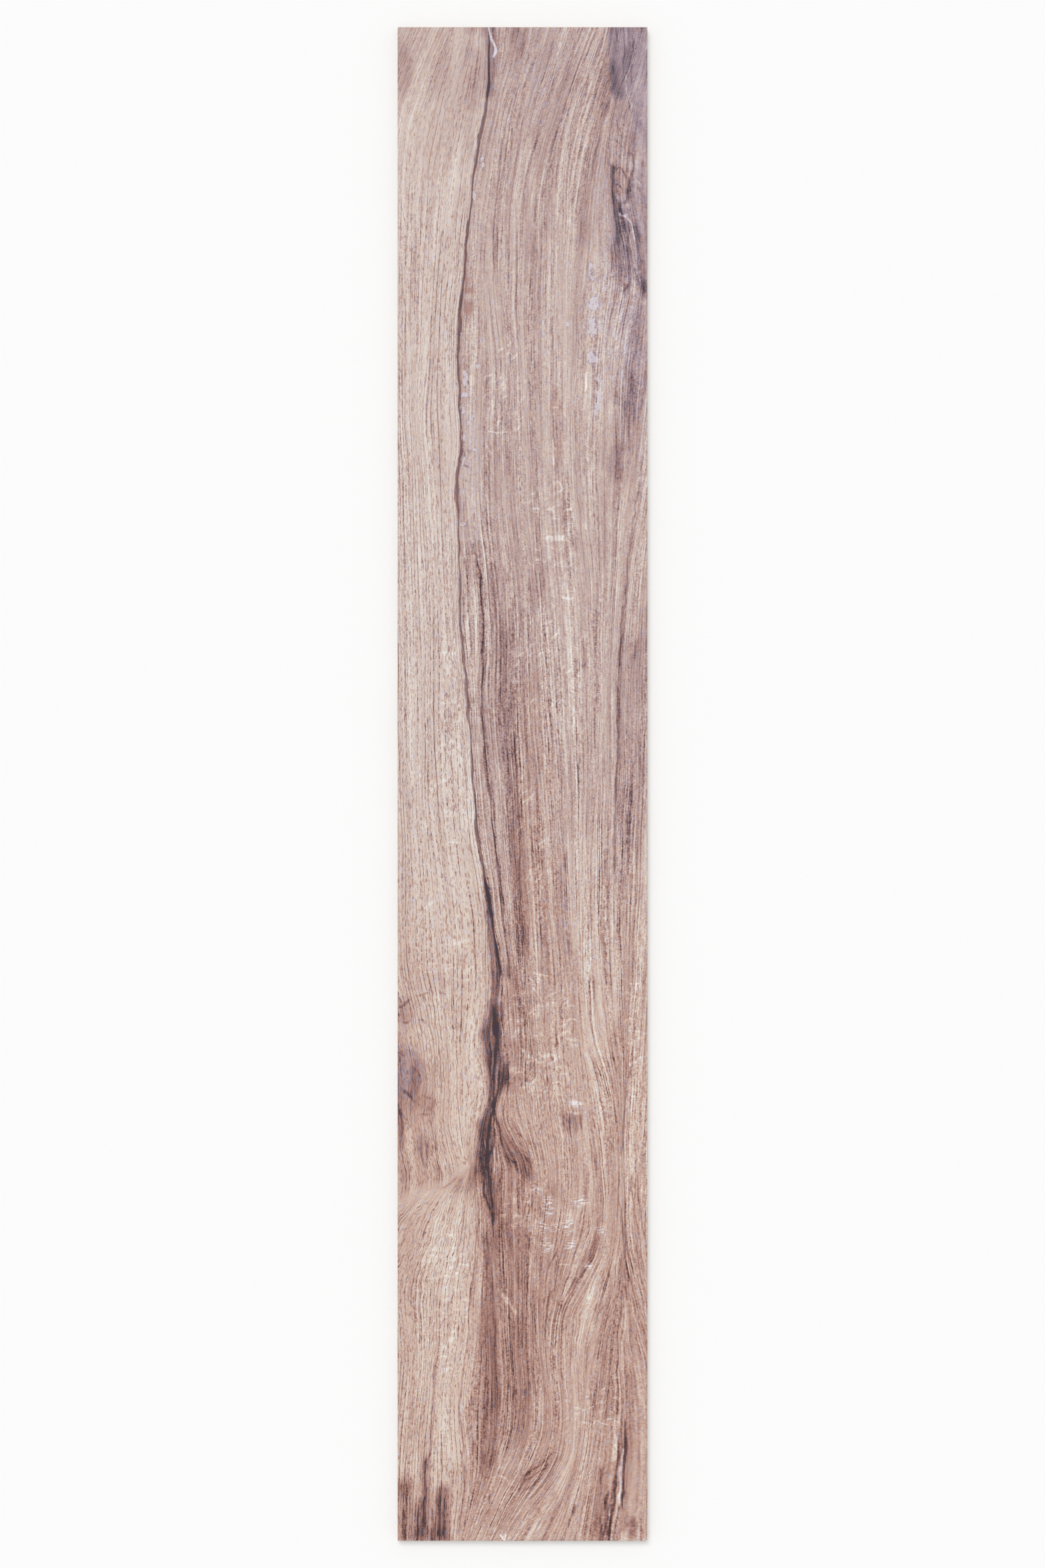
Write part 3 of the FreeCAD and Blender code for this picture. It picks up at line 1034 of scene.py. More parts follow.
# Each spot: middle, reach and tone, then what else it changes
STAINS = (
    *(Stain((x, y), (wide, high), tone) for x, y, wide, high, tone in TONE_SPOTS),
    *(Stain((x, y), (wide, high), scratch_glint=share) for x, y, wide, high, share in SCRATCH_GLINT_SPOTS),
    *(Stain((x, y), (wide, high), sheen=share) for x, y, wide, high, share in SHEEN_SPOTS),
    # Lilac and rust spots
    Stain((90, 420), (48, 230), lilac=0.5),
    Stain((0, 380), (110, 260), lilac=0.1),
    Stain((15, 585), (80, 100), lilac=0.25),
    Stain((-93, -232), (18, 40), -40, lilac=0.45),
    Stain((-82, -232), (12, 22), -20, lilac=0.2),
    Stain((-97, -178), (14, 14), -32, lilac=0.1),
    Stain((-68, -157), (18, 12), -16, lilac=0.2),
    Stain((-85, -262), (36, 70), -14, rust=0.2),
    Stain((-76, -253), (12, 12), -20, rust=0.3),
    Stain((-80, -287), (9, 16), -20, lilac=0.1),
    Stain((-97, -272), (9, 26), -26, lilac=0.1),
    Stain((-45, -318), (12, 16), -22, rust=0.3),
    Stain((-31, -198), (5, 18), -34, lilac=0.2),
    Stain((-8, -308), (24, 36), -20, rust=0.2),
    Stain((38, -267), (14, 13), -24, lilac=0.2, tilt=20),
    Stain((74, -528), (4, 14), 22, lilac=0.1),
    Stain((91, 517), (8, 18), -14, lilac=0.4),
    Stain((80, 450), (9, 14), -30, lilac=0.2),
    Stain((78, 432), (11, 34), -18, lilac=0.2),
    Stain((-98, -238), (7, 60), -10, lilac=0.2),
    Stain((-37, -310), (11, 15), -28, rust=0.4),
    Stain((-95, -191), (14, 12), -18, lilac=0.3),
    # Slanting spots
    Stain((-11, 522), (7, 20), 12, tilt=-20),
    Stain((4, 512), (7, 18), -14, tilt=-20),
    # A slanting painted glint along a scratch
    Stain((10, -321), (7, 4), tilt=-35, scratch_glint=1),
    Stain((18, 575), (10, 34), -12, tilt=-18),
    # Stronger and weaker streaks
    Stain((88, -550), (10, 50), 4, fibre=-0.5),
    Stain((-75, -597), (26, 14), -26, fibre=0.4),
    Stain((87, 572), (24, 52), fibre=-0.2),
    Stain((84, 340), (24, 130), fibre=0.45),
    Stain((-18, 300), (10, 60), fibre=0.6),
    Stain((0, -150), (11, 100), fibre=0.35),
    Stain((18, 240), (10, 50), fibre=0.3),
    Stain((75, 545), (14, 70), fibre=-0.15),
    Stain((36, -335), (15, 90), fibre=-0.3),
    Stain((54, -205), (13, 50), fibre=-0.4),
    # Wild grain, and where the pores are stronger or weaker
    Stain((40, -340), (80, 230), soft=0.5, wild=0.5),
    Stain((-75, -390), (40, 110), soft=0.5, wild=0.45),
    Stain((-82, -236), (52, 92), soft=0.6, wild=1),
    Stain((-57, 255), (6, 90), fibre=-0.2, pore=-0.5),
    Stain((25, -250), (45, 70), 8, fibre=0.15, pore=0.6, wild=0.35),
    Stain((-86, -238), (18, 38), pore=-0.4, wild=0.45),
    Stain((-76, 300), (30, 125), pore=-0.25),
    Stain((-72, -125), (40, 70), wild=0.2),
)

# Each line: points, ink, half width and ends
LINES = (
    # The seam, then long lines of the grain and short cracks
    Line(tuple((x, y) for y, x in SEAM.items()), 76, (0.5, 1.5, 0.7, 1.4, 0.9, 1.2, 0.6, 1.2, 0.7, 1, 0.6)),
    Line(
        ((-35, -345), (-37, -370), (-41, -400), (-43.5, -440), (-49, -480), (-48, -520), (-47, -550),
         (-51, -600)),
        38, 0.7,
    ),
    Line(
        ((-36, 182), (-33.5, 160), (-31, 115), (-32, 75), (-30.5, 45), (-28.5, 15), (-25.5, -15),
         (-22, -50), (-16.6, -95), (-13.6, -118), (-11, -140), (-10, -159)),
        58, (0.7, 0.8, 0.9, 1, 0.9),
    ),
    Line(((-46, 150), (-44.5, 125)), 30),
    Line(((-8, 545), (-15, 510), (-19, 475), (-22, 450), (-22.5, 393)), 34),
    Line(
        ((-7, 45), (-5, 10), (-4, 0), (-2, -35), (-1.5, -60), (-1.5, -90), (-0.3, -112), (0.6, -141)),
        38, 0.7,
    ),
    Line(((-4, 545), (-7, 525), (-10, 497)), 28, 0.5),
    Line(((-5, 440), (-5, 400), (-2, 340)), 24, 0.5),
    Line(((12, 235), (14.5, 195), (18.5, 150)), 32),
    Line(((42, 300), (42, 250), (46, 200), (51, 150)), 24, 0.5),
    Line(((69, 545), (64, 530), (60, 510), (54, 475)), 30, 0.7),
    Line(
        ((96.5, 262), (92, 237), (87.5, 208), (84, 180), (81.3, 150), (77.5, 108), (76, 80), (75.5, 20),
         (73.8, 0), (73, -30), (72, -75)),
        42, (0.9, 0.8, 0.9, 0.6),
    ),
    Line(((90, 115), (89, 95)), 40, 1),
    Line(((83, -20), (83.5, -40)), 40, 1),
    Line(((74, -55), (73, -75)), 34, 0.9),
    Line(((52, -150), (54.5, -190), (59, -215), (66, -238)), 30),
    Line(((86, -200), (83.5, -235), (80.5, -265), (78.5, -298)), 40),
    Line(((-96, -255), (-95, -275), (-98, -285)), 40, 0.8),
    Line(((-20, -420), (-22, -450)), 26),
    Line(((0, -435), (1, -450)), 26),
    Line(((-68, -452), (-70, -475), (-73, -520), (-75, -540)), 46, (0.6, 0.9)),
    Line(((75, 395), (72, 375), (69, 360)), 40, 0.8),
    Line(((30, 592), (20, 558), (14, 545)), 20),
    # Single pale strokes
    # A painted highlight along the edge of the crack at the head
    Line(((-27, 602), (-25, 590), (-22.5, 583), (-23.5, 575)), -90, 0.9, 2),
    Line(((2, -20), (11, -3)), -24, 1),
    Line(((-12, -98), (-5, -85)), -20, 0.9),
    Line(((-24, -350), (-23, -385), (-20, -397)), -30),
    # Pale edges along the seam
    Line(((-36, 524), (-39, 500)), -24, 1.2),
    Line(((-43, 50), (-42, 10), (-39, -30), (-36, -62), (-33, -90)), -16, 1.4),
    # Pale strokes of the small knot
    Line(((37, -253), (50, -253)), -34, 1.6, 4),
    Line(((34, -260), (48, -261)), -30, 1.2, 4),
    # Short strokes of the small knot
    Line(((33.5, -260), (33, -277)), 36, 0.8, 3),
    Line(((38, -262), (37.5, -281)), 40, 0.9, 3),
    Line(((42.5, -261), (43, -280)), 36, 0.8, 3),
    Line(((47, -263), (47.5, -276)), 30, 0.7, 3),
    # Squiggles beside the seam
    Line(((-48, 299), (-46, 294)), 34, 0.8, 2),
    Line(((-47, 274), (-45, 269)), 34, 0.8, 2),
    Line(((-47, 235), (-45, 229)), 30, 0.8, 2),
    # The left knot
    Line(((-99, -212), (-92, -216)), 32, 1),
    Line(((-97, -240), (-90, -246), (-84, -254)), 38, 1),
    Line(((-88, -222), (-82, -230), (-80, -238)), 34, 1),
    Line(((-80, -247), (-70, -250)), 26, 0.8),
    Line(((-84, -262), (-72, -262)), 26, 0.8),
    Line(((-66, -322), (-55, -315), (-50, -309)), 30, 0.9),
    # The stains at the foot
    Line(((-77, -530), (-77, -560), (-78, -592)), 56, (0.9, 1.6)),
    Line(((-66, -560), (-66, -600)), 44, 1.2),
    Line(((-61, -565), (-62, -600)), 40, 1),
    Line(((-83, -570), (-83.5, -600)), 40, 1),
    Line(((-71, -572), (-71, -600)), 36, 0.9),
    Line(((-95, -572), (-94, -600)), 34, 1),
)

# Each set: ink, half width, ends, paths and layer
STROKES = (
    # The long crack: dark cores, then the paler strands between them, partly painted glints
    Strokes(78, (0.4, 0.5, 0.6, 0.7, 1, 0.6), 8, (
        ((-30.7, -66), (-27.8, -85), (-24.8, -103), (-22.7, -117), (-20.7, -130), (-19, -141),
         (-17.2, -150), (-18.8, -158)),
    )),
    Strokes(54, (0.9, 1.4, 2, 1.4, 0.8), 4, (
        ((-23.2, -174), (-22.8, -186), (-21.4, -197), (-22, -207)),
        ((-23.5, -254), (-25.5, -268), (-27, -284), (-28, -296), (-28, -306), (-26, -316), (-24.2, -328),
         (-23.4, -338)),
    )),
    Strokes(52, (0.6, 0.9, 0.7), 3, (
        ((-22.8, -203), (-22.4, -215), (-22.4, -230), (-22.8, -245), (-24.4, -258)),
        ((-22.4, -256), (-21, -264), (-18.8, -270), (-17.2, -277), (-15.8, -283), (-15.2, -289)),
        ((-24.6, -284), (-24, -298), (-25, -311)),
        ((-30.8, -314), (-29.5, -328), (-26.5, -336), (-24, -345)),
        ((-23.4, -338), (-22.8, -348), (-22.6, -362)), ((-11, -296), (-8, -299.5), (-4, -300)),
        ((0.5, -290), (3.5, -295), (5.8, -301)), ((-26.2, -203), (-26, -218), (-25.8, -235)),
    )),
    Strokes(32, (0.5, 0.6, 0.5), 4, (
        ((-30.5, -276), (-30, -292)), ((-21.2, -286), (-20.6, -301)), ((2, -304), (-3, -309)),
        ((-4.5, -313), (-1, -315), (1.5, -320)),
        ((-8, -97), (-6.5, -110), (-5, -125), (-4, -140), (-3, -150)),
        ((5, -103), (4.5, -122), (5.2, -142)), ((-15, -163), (-15.2, -177)), ((-12.2, -189), (-12, -200)),
        ((-5, -177.5), (-2, -178.5), (1, -178)), ((4.8, -150), (5, -162)),
        ((-12, -236), (-11.5, -255), (-10.2, -268), (-6.5, -276), (-2, -283), (1.2, -290), (3, -296)),
        ((-15.2, -246), (-15.4, -258), (-13.8, -268), (-10.2, -276), (-8.2, -283), (-8.4, -289)),
        ((-8.5, -262), (-5, -271.5), (0.8, -280.5), (5, -289), (7.2, -297), (7.6, -304)),
        ((1, -346), (2.5, -334), (5, -326)), ((3.5, -348), (5, -338), (9.5, -328)),
    )),
    # Paler strands of the crack and painted glints on its edges
    Strokes(-46, (0.4, 0.6, 0.4), 2, (
        ((-17, -231), (-18.4, -239)), ((-24.4, -256), (-24.8, -262)), ((-25.2, -194), (-25.4, -200)),
        ((-24.4, -262), (-23.2, -270)), ((-16.4, -192), (-16.6, -216)), ((-20, -220), (-20, -238)),
        ((-29.3, -281), (-29, -291)), ((-29.3, -318), (-28.4, -327)), ((-23, -288), (-22.6, -310)),
    ), Print.RAY),
    # The stain at the head's right corner
    Strokes(32, (0.5, 0.7, 0.5), 4, (
        ((80.5, 602), (80.3, 585), (79.8, 560)), ((84.5, 552), (84.2, 541), (84.6, 532)),
        ((86.3, 572), (86.2, 553)), ((71.5, 571), (72.6, 561)), ((74, 530), (76, 522), (80, 515)),
        ((72, 514), (75, 510.5), (79.5, 505)), ((69.5, 546), (67.8, 536), (66.5, 527)),
        ((75, 602), (75.4, 586)), ((88.4, 602), (88, 580)),
    )),
    Strokes(-34, 0.6, 2, (
        ((83.2, 601), (82.7, 583)), ((99.5, 592), (97, 581)), ((81, 563), (82.2, 561.5), (82, 557)),
        ((92, 526), (95, 529)), ((82.5, 556), (84, 546), (86, 534)),
    )),
    # The right knot and its cracks
    Strokes(40, (0.5, 0.8, 0.5), 2, (
        ((71, 493), (71.2, 480), (72.2, 470), (73.5, 458), (74.4, 446)),
        ((84.8, 484), (84.6, 468), (82.6, 462)),
        ((73.4, 486), (75.6, 489), (78.6, 488), (81.4, 484), (83.4, 478)),
        ((73.4, 473.6), (75.4, 476), (78, 474), (80.4, 470)), ((80.9, 431), (81.4, 419)),
        ((83.6, 397), (83, 393), (81, 389.5), (80.4, 384)), ((70.8, 427), (71, 412), (70, 404)),
        ((86, 501), (87.6, 492), (87, 482), (86.4, 468)), ((84.4, 442), (84.6, 428)),
        ((88.6, 410), (90, 402)), ((93.8, 495), (94.2, 489)), ((92.6, 474), (93.6, 469)),
        ((94.5, 399), (98, 389)),
    )),
    # Painted highlights along the edges of the crack below the knot
    Strokes(-84, (0.4, 0.6, 0.6), 2, (
        ((77, 453.5), (78.4, 451), (81, 450.4), (83, 448.6)),
        ((82, 449.4), (85, 446), (87.6, 441), (89, 436), (90.2, 427)),
    )),
    # More painted glints round the knot and along its cracks
    Strokes(-46, 0.5, 2, (
        ((90.3, 430), (90.4, 415), (90, 404)), ((72.8, 478), (74.5, 477.4), (76, 475.8)),
        ((92, 478), (94.6, 474)), ((75.2, 470), (76.4, 462)), ((74.2, 444), (74.4, 432)),
        ((82.4, 456), (82.6, 451)), ((92, 402), (96, 394)),
    )),
    # Hooks and ripples of the left strip
    Strokes(-17, (1, 1.6, 1.6), 3, (
        ((-70, 22), (-66, 29), (-62, 32.5), (-51, 33)),
        ((-74, -6), (-70, -2), (-65, 1.5), (-60, 4.5), (-52, 5)), ((-63, -20), (-58, -23), (-50, -25)),
        ((-67, 103.5), (-52, 103)), ((-75, 63.5), (-71.5, 67)), ((-66, 64), (-51, 65.5)),
        ((-83, 3.5), (-78, 9)), ((-77, -36), (-77, -27)),
        ((-66, -129), (-60, -125.5), (-52, -123.5), (-41, -125)),
        ((-82, -107), (-78, -100), (-74, -95), (-71, -91.5)), ((-75, -183), (-68, -183.5)),
    ), Print.RAY),
    Strokes(-18, 0.6, 6, (
        ((-80, -142.5), (-60, -143), (-45, -145), (-32, -144)),
        ((-82, -149.5), (-60, -148.5), (-40, -149), (-28, -147)), ((-60, -46), (-43, -47)),
        ((-62, -127), (-44, -128)),
    ), Print.RAY),
    # Dark marks above and round the left knot
    Strokes(40, (0.6, 1.1, 0.7), 2, (
        ((-99, -178.5), (-95, -176), (-91, -172.5), (-88, -170)), ((-83, -168.5), (-78, -166), (-74, -166)),
        ((-99, -183.5), (-96, -182.5)), ((-95, -188.5), (-90, -189), (-88.5, -186)),
        ((-84, -187), (-80, -187), (-77.5, -191)), ((-98, -256), (-95.5, -270), (-97, -285)),
        ((-80, -276), (-79.4, -304)), ((-75, -282), (-75.4, -305)), ((-69.6, -278), (-68.6, -292)),
        ((-46.5, -295), (-42, -299)), ((-48, -299), (-44, -302)),
    )),
    Strokes(34, 0.6, 1.5, (
        ((-57, -191), (-56.5, -196)), ((-55.5, -190.5), (-54.8, -195)), ((-49.2, -190), (-49, -195)),
        ((-48.6, -207), (-48.8, -212)), ((-58.4, -172), (-58.2, -186)), ((-66, -166), (-62, -165.6)),
    )),
    # Pale blocks and squiggles of the upper middle
    Strokes(-34, 2.4, 1, (((19, 194.6), (35.5, 194.6)),), Print.RAY),
    Strokes(-38, 1, 1.5, (
        ((8, 218), (14, 218)), ((20, 218), (23, 218), (26, 213.5)), ((31, 216), (40, 219)),
        ((10, 177.5), (14.4, 178)), ((8.3, 174.5), (9, 170.5)), ((30, 149), (36, 146.5), (39.4, 147.5)),
        ((49.5, 208), (50.6, 201)), ((49, 326), (49, 311)), ((24.4, 273), (24.6, 252)),
    ), Print.RAY),
    Strokes(-36, 0.6, 1.5, (
        ((-28, 280), (-22, 278.5), (-11, 279)), ((-30, 270), (-25, 262)),
        ((26, 238), (27.5, 240), (29.5, 237.4), (31, 234), (29.5, 231.5), (27, 233)),
        ((23.6, 299), (30, 298)), ((24, 294), (28, 293)),
    ), Print.RAY),
    # Dark squiggles beside the seam
    Strokes(42, 0.7, 1.5, (
        ((-47.6, 280), (-46, 275)), ((-47, 264), (-46, 260)),
        ((-47.2, 258), (-46.8, 254), (-45, 252), (-42.6, 250.5)), ((-45.6, 241.5), (-44.4, 239.5)),
        ((-37.4, 216.5), (-37.8, 213), (-38.4, 208)), ((-38, 204), (-36.2, 201)),
        ((-46.5, 207.5), (-45, 204)), ((-39.6, 191), (-39.2, 181)), ((-45.6, 180), (-45, 160)),
        ((-43, 264), (-42, 262)),
    )),
    # The lower right, then the lower middle
    Strokes(50, (0.6, 0.9, 0.6), 3, (
        ((29.5, -366), (26, -374), (22, -380), (19.6, -385)), ((43.5, -390), (40.5, -396), (36, -406)),
        ((80, -396), (81, -405), (82, -410)), ((72, -423), (74, -431)),
        ((63.6, -541), (62.6, -550), (62, -558)), ((41.6, -570), (39.4, -581)), ((36.8, -581), (36, -591)),
    )),
    Strokes(38, (0.5, 0.7, 0.5), 6, (
        ((77, -306), (76.5, -325), (78, -340), (79.5, -360), (81.5, -380), (85, -397)),
        ((81, -306), (81.5, -330), (82, -345), (82.5, -365), (85, -380), (87, -392)),
        ((85.5, -306), (86.5, -322), (88, -332), (90, -342), (91.5, -352), (93.5, -365), (95, -378),
         (97, -391)), ((90, -306), (91, -325), (93, -338), (96, -352), (99, -366)),
        ((88, -384), (91, -397), (95, -410), (96, -420), (98, -429)),
        ((90, -364), (92, -380), (95, -395), (98, -406)), ((61, -421), (65, -412)),
        ((71.5, -401), (73, -391), (74, -379)),
    )),
    Strokes(-30, 1.5, 1.5, (
        ((-19, -342.4), (-11, -342)), ((-9, -342.4), (0, -342.4)), ((-6, -347.4), (-1, -347.2)),
        ((-10, -329), (-3, -329.4)),
    ), Print.RAY),
    Strokes(-40, (1.4, 1.8, 0.8), 3, (
        ((-19, -399), (-12, -409), (-4, -421)), ((52.6, -406), (53.4, -408)),
    ), Print.RAY),
    Strokes(-40, 0.5, 2, (
        ((40, -494), (47, -495.5), (50.4, -497)), ((58, -504), (64, -507), (70.4, -508)),
        ((60, -513), (64, -516)), ((60, -533), (63.4, -538)), ((57, -491), (64, -491.5)),
        ((-20, -548), (-14, -550), (-11, -556)), ((7, -150), (14, -151), (23, -153)),
        ((3, -153), (9, -156)), ((6, -161), (13, -166)), ((18, -173), (25.4, -176)),
        ((5, -181), (14, -184)), ((8, -178), (13, -180)), ((28, -381), (37, -381)),
    ), Print.RAY),
    Strokes(-46, (0.8, 1.1, 0.7), 2, (
        ((-2, -195.5), (1.4, -201.5)), ((-3, -208.5), (1, -213), (2, -220)), ((0, -215), (4, -223)),
    ), Print.RAY),
    # The leaf above the foot
    Strokes(38, (0.5, 0.7, 0.5), 2, (
        ((29.6, -531), (25, -529.8), (20, -533.5), (13, -540.5), (6, -545), (0, -550.5), (-2.4, -554)),
        ((20, -541), (14, -544.5), (8, -549), (2, -552.5)), ((16.4, -536), (19, -539), (21.4, -540.4)),
        ((29.6, -532), (26, -538), (22, -545), (18, -551), (13, -558), (9, -564), (4, -567)),
        ((16, -546), (8, -556), (2, -560), (-3, -564)), ((-26.6, -558), (-26.4, -572)),
        ((-34, -540), (-31, -550)),
    )),
    # The split beside the right edge
    Strokes(72, (0.5, 1.2, 1.3, 0.8, 0.4), 4, (
        ((80.8, -502), (81, -515), (81, -530), (80.2, -545), (79.5, -560), (78.6, -577)),
    )),
    Strokes(56, (0.5, 0.9, 1, 1, 1), 4, (
        ((77.2, -507), (77, -518), (76.6, -528), (75.6, -538), (73.6, -552), (72.5, -566), (71, -580),
         (69.5, -592), (68, -602)), ((68.6, -558), (67.5, -572), (66.5, -585), (64, -602)),
        ((63.2, -585), (61.4, -602)),
    )),
    Strokes(-64, (0.5, 1, 0.9, 0.7), 3, (
        ((79.4, -525), (78.6, -537), (78, -548), (77.2, -560), (76.2, -574)), ((76.4, -511), (76, -521)),
    )),
    Strokes(-32, 1.3, 4, (
        ((75, -518), (73.4, -542)), ((76.2, -560), (75, -580), (74.4, -601)), ((69.4, -574), (68, -592)),
    ), Print.RAY),
)

# Each patch: middle, reach, count, seed, lengths, leans, ink, half width and bend
RAYS = (
    # Slanted strokes from the upper middle to the middle
    RayFlecks((-12, 312), (18, 40), 22, 101, (4, 10), (20, 70), 40),
    RayFlecks((18, 205), (22, 38), 18, 102, (4, 9), (-40, 60), 40),
    RayFlecks((12, 85), (24, 55), 24, 103, (4, 10), (20, 80), 44),
    RayFlecks((4, -40), (18, 50), 16, 104, (5, 14), (30, 80), 44),
    # Arcs in the lower middle, on the right edge and at the lower right
    RayFlecks((14, -200), (28, 50), 60, 105, (5, 14), (-25, 50), 44, 0.6, 0.7),
    RayFlecks((90, -200), (8, 52), 26, 106, (5, 12), (-60, 30), 40, 0.6, 0.6),
    RayFlecks((55, -498), (24, 20), 22, 107, (4, 9), (-30, 60), 40),
    RayFlecks((-4, -335), (10, 16), 8, 108, (5, 10), (-10, 30), 40),
    # Level ripples on the left strip
    RayFlecks((-56, -147), (26, 8), 8, 111, (12, 26), (-4, 6), 20, 0.5),
    RayFlecks((-58, -410), (16, 62), 60, 112, (4, 11), (-10, 10), 30, 0.7),
)


@dataclass(frozen=True)
class WoodDrawing:
    """The drawing of the print: base tones, then grain, soft features and thin lines."""

    grain: GrainField = GrainField()
    sway: Ripple = Ripple(11, 0.35, 30.0, 110.0)
    shiver: Ripple = Ripple(12, 0.45, 9.0, 26.0)
    left_tone: float = 193.5
    right_tone: float = 167.5
    seam_across: float = SEAM_GUIDE.across
    seam_fade: float = 4.0
    warmth: float = 0.92
    warm_start: float = 80.0
    warm_end: float = -320.0
    right_pores: float = 0.15
    head_pores: float = 0.6
    head_start: float = 420.0
    head_end: float = 500.0
    left_fibre: float = 0.5
    head_fibre: float = 0.78
    calm_fibre: float = 0.72
    calm_start: float = 100.0
    calm_end: float = 350.0

    def draw(self, x: Array, y: Array) -> FacePrint:
        """Draws the whole print.

        Args:
            x: Places across the plank, in millimetres.
            y: Places along the plank, in millimetres.

        Returns:
            The painted print.
        """
        swayed = x + self.sway.at(x, y)
        across, spread = self.grain.at(swayed, y)
        face = FacePrint(swayed + self.shiver.at(x, y), y, across, spread)
        right = ease(across, self.seam_across, self.seam_across + self.seam_fade)
        face.tone += self.left_tone + (self.right_tone - self.left_tone) * right
        head = ease(y, self.head_start, self.head_end)
        calm = ease(y, self.calm_start, self.calm_end)
        face.pore += (1.0 + (self.right_pores - 1.0) * right) * (1.0 + (self.head_pores - 1.0) * head)
        left_fibre = self.left_fibre * (1.0 + (self.head_fibre - 1.0) * head)
        right_fibre = 1.0 + (self.calm_fibre - 1.0) * calm
        face.fibre += left_fibre + (right_fibre - left_fibre) * right
        face.rust += self.warmth * ease(y, self.warm_start, self.warm_end)
        for feature in CROTCHES + BANDS + STAINS + LINES + STROKES + RAYS:
            feature.paint(face)
        return face


WOOD_STOPS = (
    (64, 48, 51), (108, 80, 80), (132, 100, 99), (152.5, 120, 117.5), (169.5, 140, 136.5),
    (185.5, 160, 154.5), (201, 180, 171), (216, 200, 191), (227, 220, 213), (240, 236, 233),
)
WARM_STOPS = (
    (68, 46, 43), (118, 80, 74), (142, 100, 90), (163, 120, 109), (179, 140, 127), (194, 160, 146),
    (207, 180, 165), (219, 200, 186), (229, 220, 209), (240, 236, 231),
)
LILAC_STOPS = (
    (60, 48, 58), (94, 80, 91), (118, 100, 111), (140, 120, 131), (161, 140, 149), (179, 160, 168),
    (194, 180, 188), (209, 200, 208), (224, 220, 228), (240, 236, 241),
)


@dataclass(frozen=True)
class Streaks:
    """Fine streaks along the grain, which stay about as wide where the grain lines spread or close up."""

    width: float = 1.05
    # Lengths in millimetres, and how strong the streaks of each length are
    lengths: tuple[Span, ...] = ((1.1, 0.3), (4.0, 0.22), (11.0, 0.2), (34.0, 0.28))
    first_seed: float = 4.4
    seed_step: float = 2.6
    # How many times closer the streaks stand in grain coordinates, from closed grain to spread grain
    scales: tuple[float, ...] = (0.4, 1.0, 2.2)
    scale_blur: float = 0.2
    whole: Pattern = Pattern((1.0, 260.0), 1.4, 0.0)
    whole_share: float = 0.38
    shown: Pattern = Pattern((2.2, 16.0), 9.4, low=0.3, high=0.7)
    shown_span: Span = (0.3, 1.7)

    def draw(self, kit: NodeKit, grain: Port, spread: Port) -> Port:
        """Draws the streaks of every scale, each where the grain has spread to suit it.

        Args:
            kit: The tree to draw in.
            grain: The grain coordinates.
            spread: How far the grain lines have moved apart, in doublings.

        Returns:
            The streaks as a share of the full level, up and down.
        """
        result = self.at_scale(kit, grain, self.scales[0])
        for before, after in zip(self.scales, self.scales[1:]):
            middle = math.log2(before * after) / 2.0
            share = kit.rise(spread, middle - self.scale_blur, middle + self.scale_blur)
            result = kit.blend(share, result, self.at_scale(kit, grain, after))
        return result

    def at_scale(self, kit: NodeKit, grain: Port, scale: float) -> Port:
        """Adds up streaks of equal width and many lengths.

        Args:
            kit: The tree to draw in.
            grain: The grain coordinates.
            scale: How many times closer together the streaks stand.

        Returns:
            The streaks as a share of the full level, up and down.
        """
        grain = kit.vectors("MULTIPLY", grain, (scale, 1.0, 1.0))
        shown = kit.between(kit.marks(grain, self.shown), self.shown_span)
        total = kit.swing(grain, self.whole) * shown * self.whole_share
        for number, (length, size) in enumerate(self.lengths):
            pattern = Pattern((self.width, length), self.first_seed + self.seed_step * number, 0.0)
            total = total + kit.swing(grain, pattern) * size
        return total


@dataclass(frozen=True)
class Pores:
    """Rows of fine pores: short dashes at the foot, long ones at the head and tiny ones in tangled wood."""

    pitch: float = 2.6
    drift: Pattern = Pattern((8.0, 150.0), 25.9)
    wander: float = 10.0
    row_span: Span = (0.8, 0.99)
    short: Pattern = Pattern((1.4, 2.1), 21.4, low=0.45, high=0.53)
    long: Pattern = Pattern((2.4, 32.0), 23.4, 2.0, 0.4, 0.56)
    long_span: Span = (80.0, 380.0)
    tiny_span: Span = (-0.04, 0.06)
    broken_span: Span = (0.6, 1.1)
    vigour: Pattern = Pattern((5.0, 140.0), 27.1, low=0.22, high=0.6)
    whole_span: Span = (0.52, 0.62)
    whole_share: float = 0.6
    nicks: Pattern = Pattern((0.55, 4.0), 29.5, 0.0, 0.6, 0.72)
    nick_share: float = 0.5

    def draw(self, kit: NodeKit, grain: Port, scribble: Port, tangled: Port) -> Port:
        """Draws the pores.

        Args:
            kit: The tree to draw in.
            grain: The grain coordinates.
            scribble: The short streaks of tangled wood, up and down from 0.
            tangled: Where the wood is tangled, from 0 to 1.

        Returns:
            How deep the pores are, as a share.
        """
        across, along, _ = kit.parts(grain)
        turn = across * (math.tau / self.pitch) + kit.noise(grain, self.drift) * self.wander
        rows = kit.rise(kit.maths("SINE", turn), *self.row_span)
        short = kit.marks(grain, self.short)
        tiny = kit.rise(scribble, *self.tiny_span)
        long = kit.marks(grain, self.long) * kit.between(tiny, self.broken_span)
        dashes = kit.blend(kit.rise(along, *self.long_span), short, long)
        dashes = kit.blend(tangled, dashes, tiny)
        vigour = kit.noise(grain, self.vigour)
        dashes = kit.blend(kit.rise(vigour, *self.whole_span) * self.whole_share, dashes, 1.0)
        strong = kit.rise(vigour, self.vigour.low, self.vigour.high)
        return rows * dashes * strong + kit.marks(grain, self.nicks) * self.nick_share


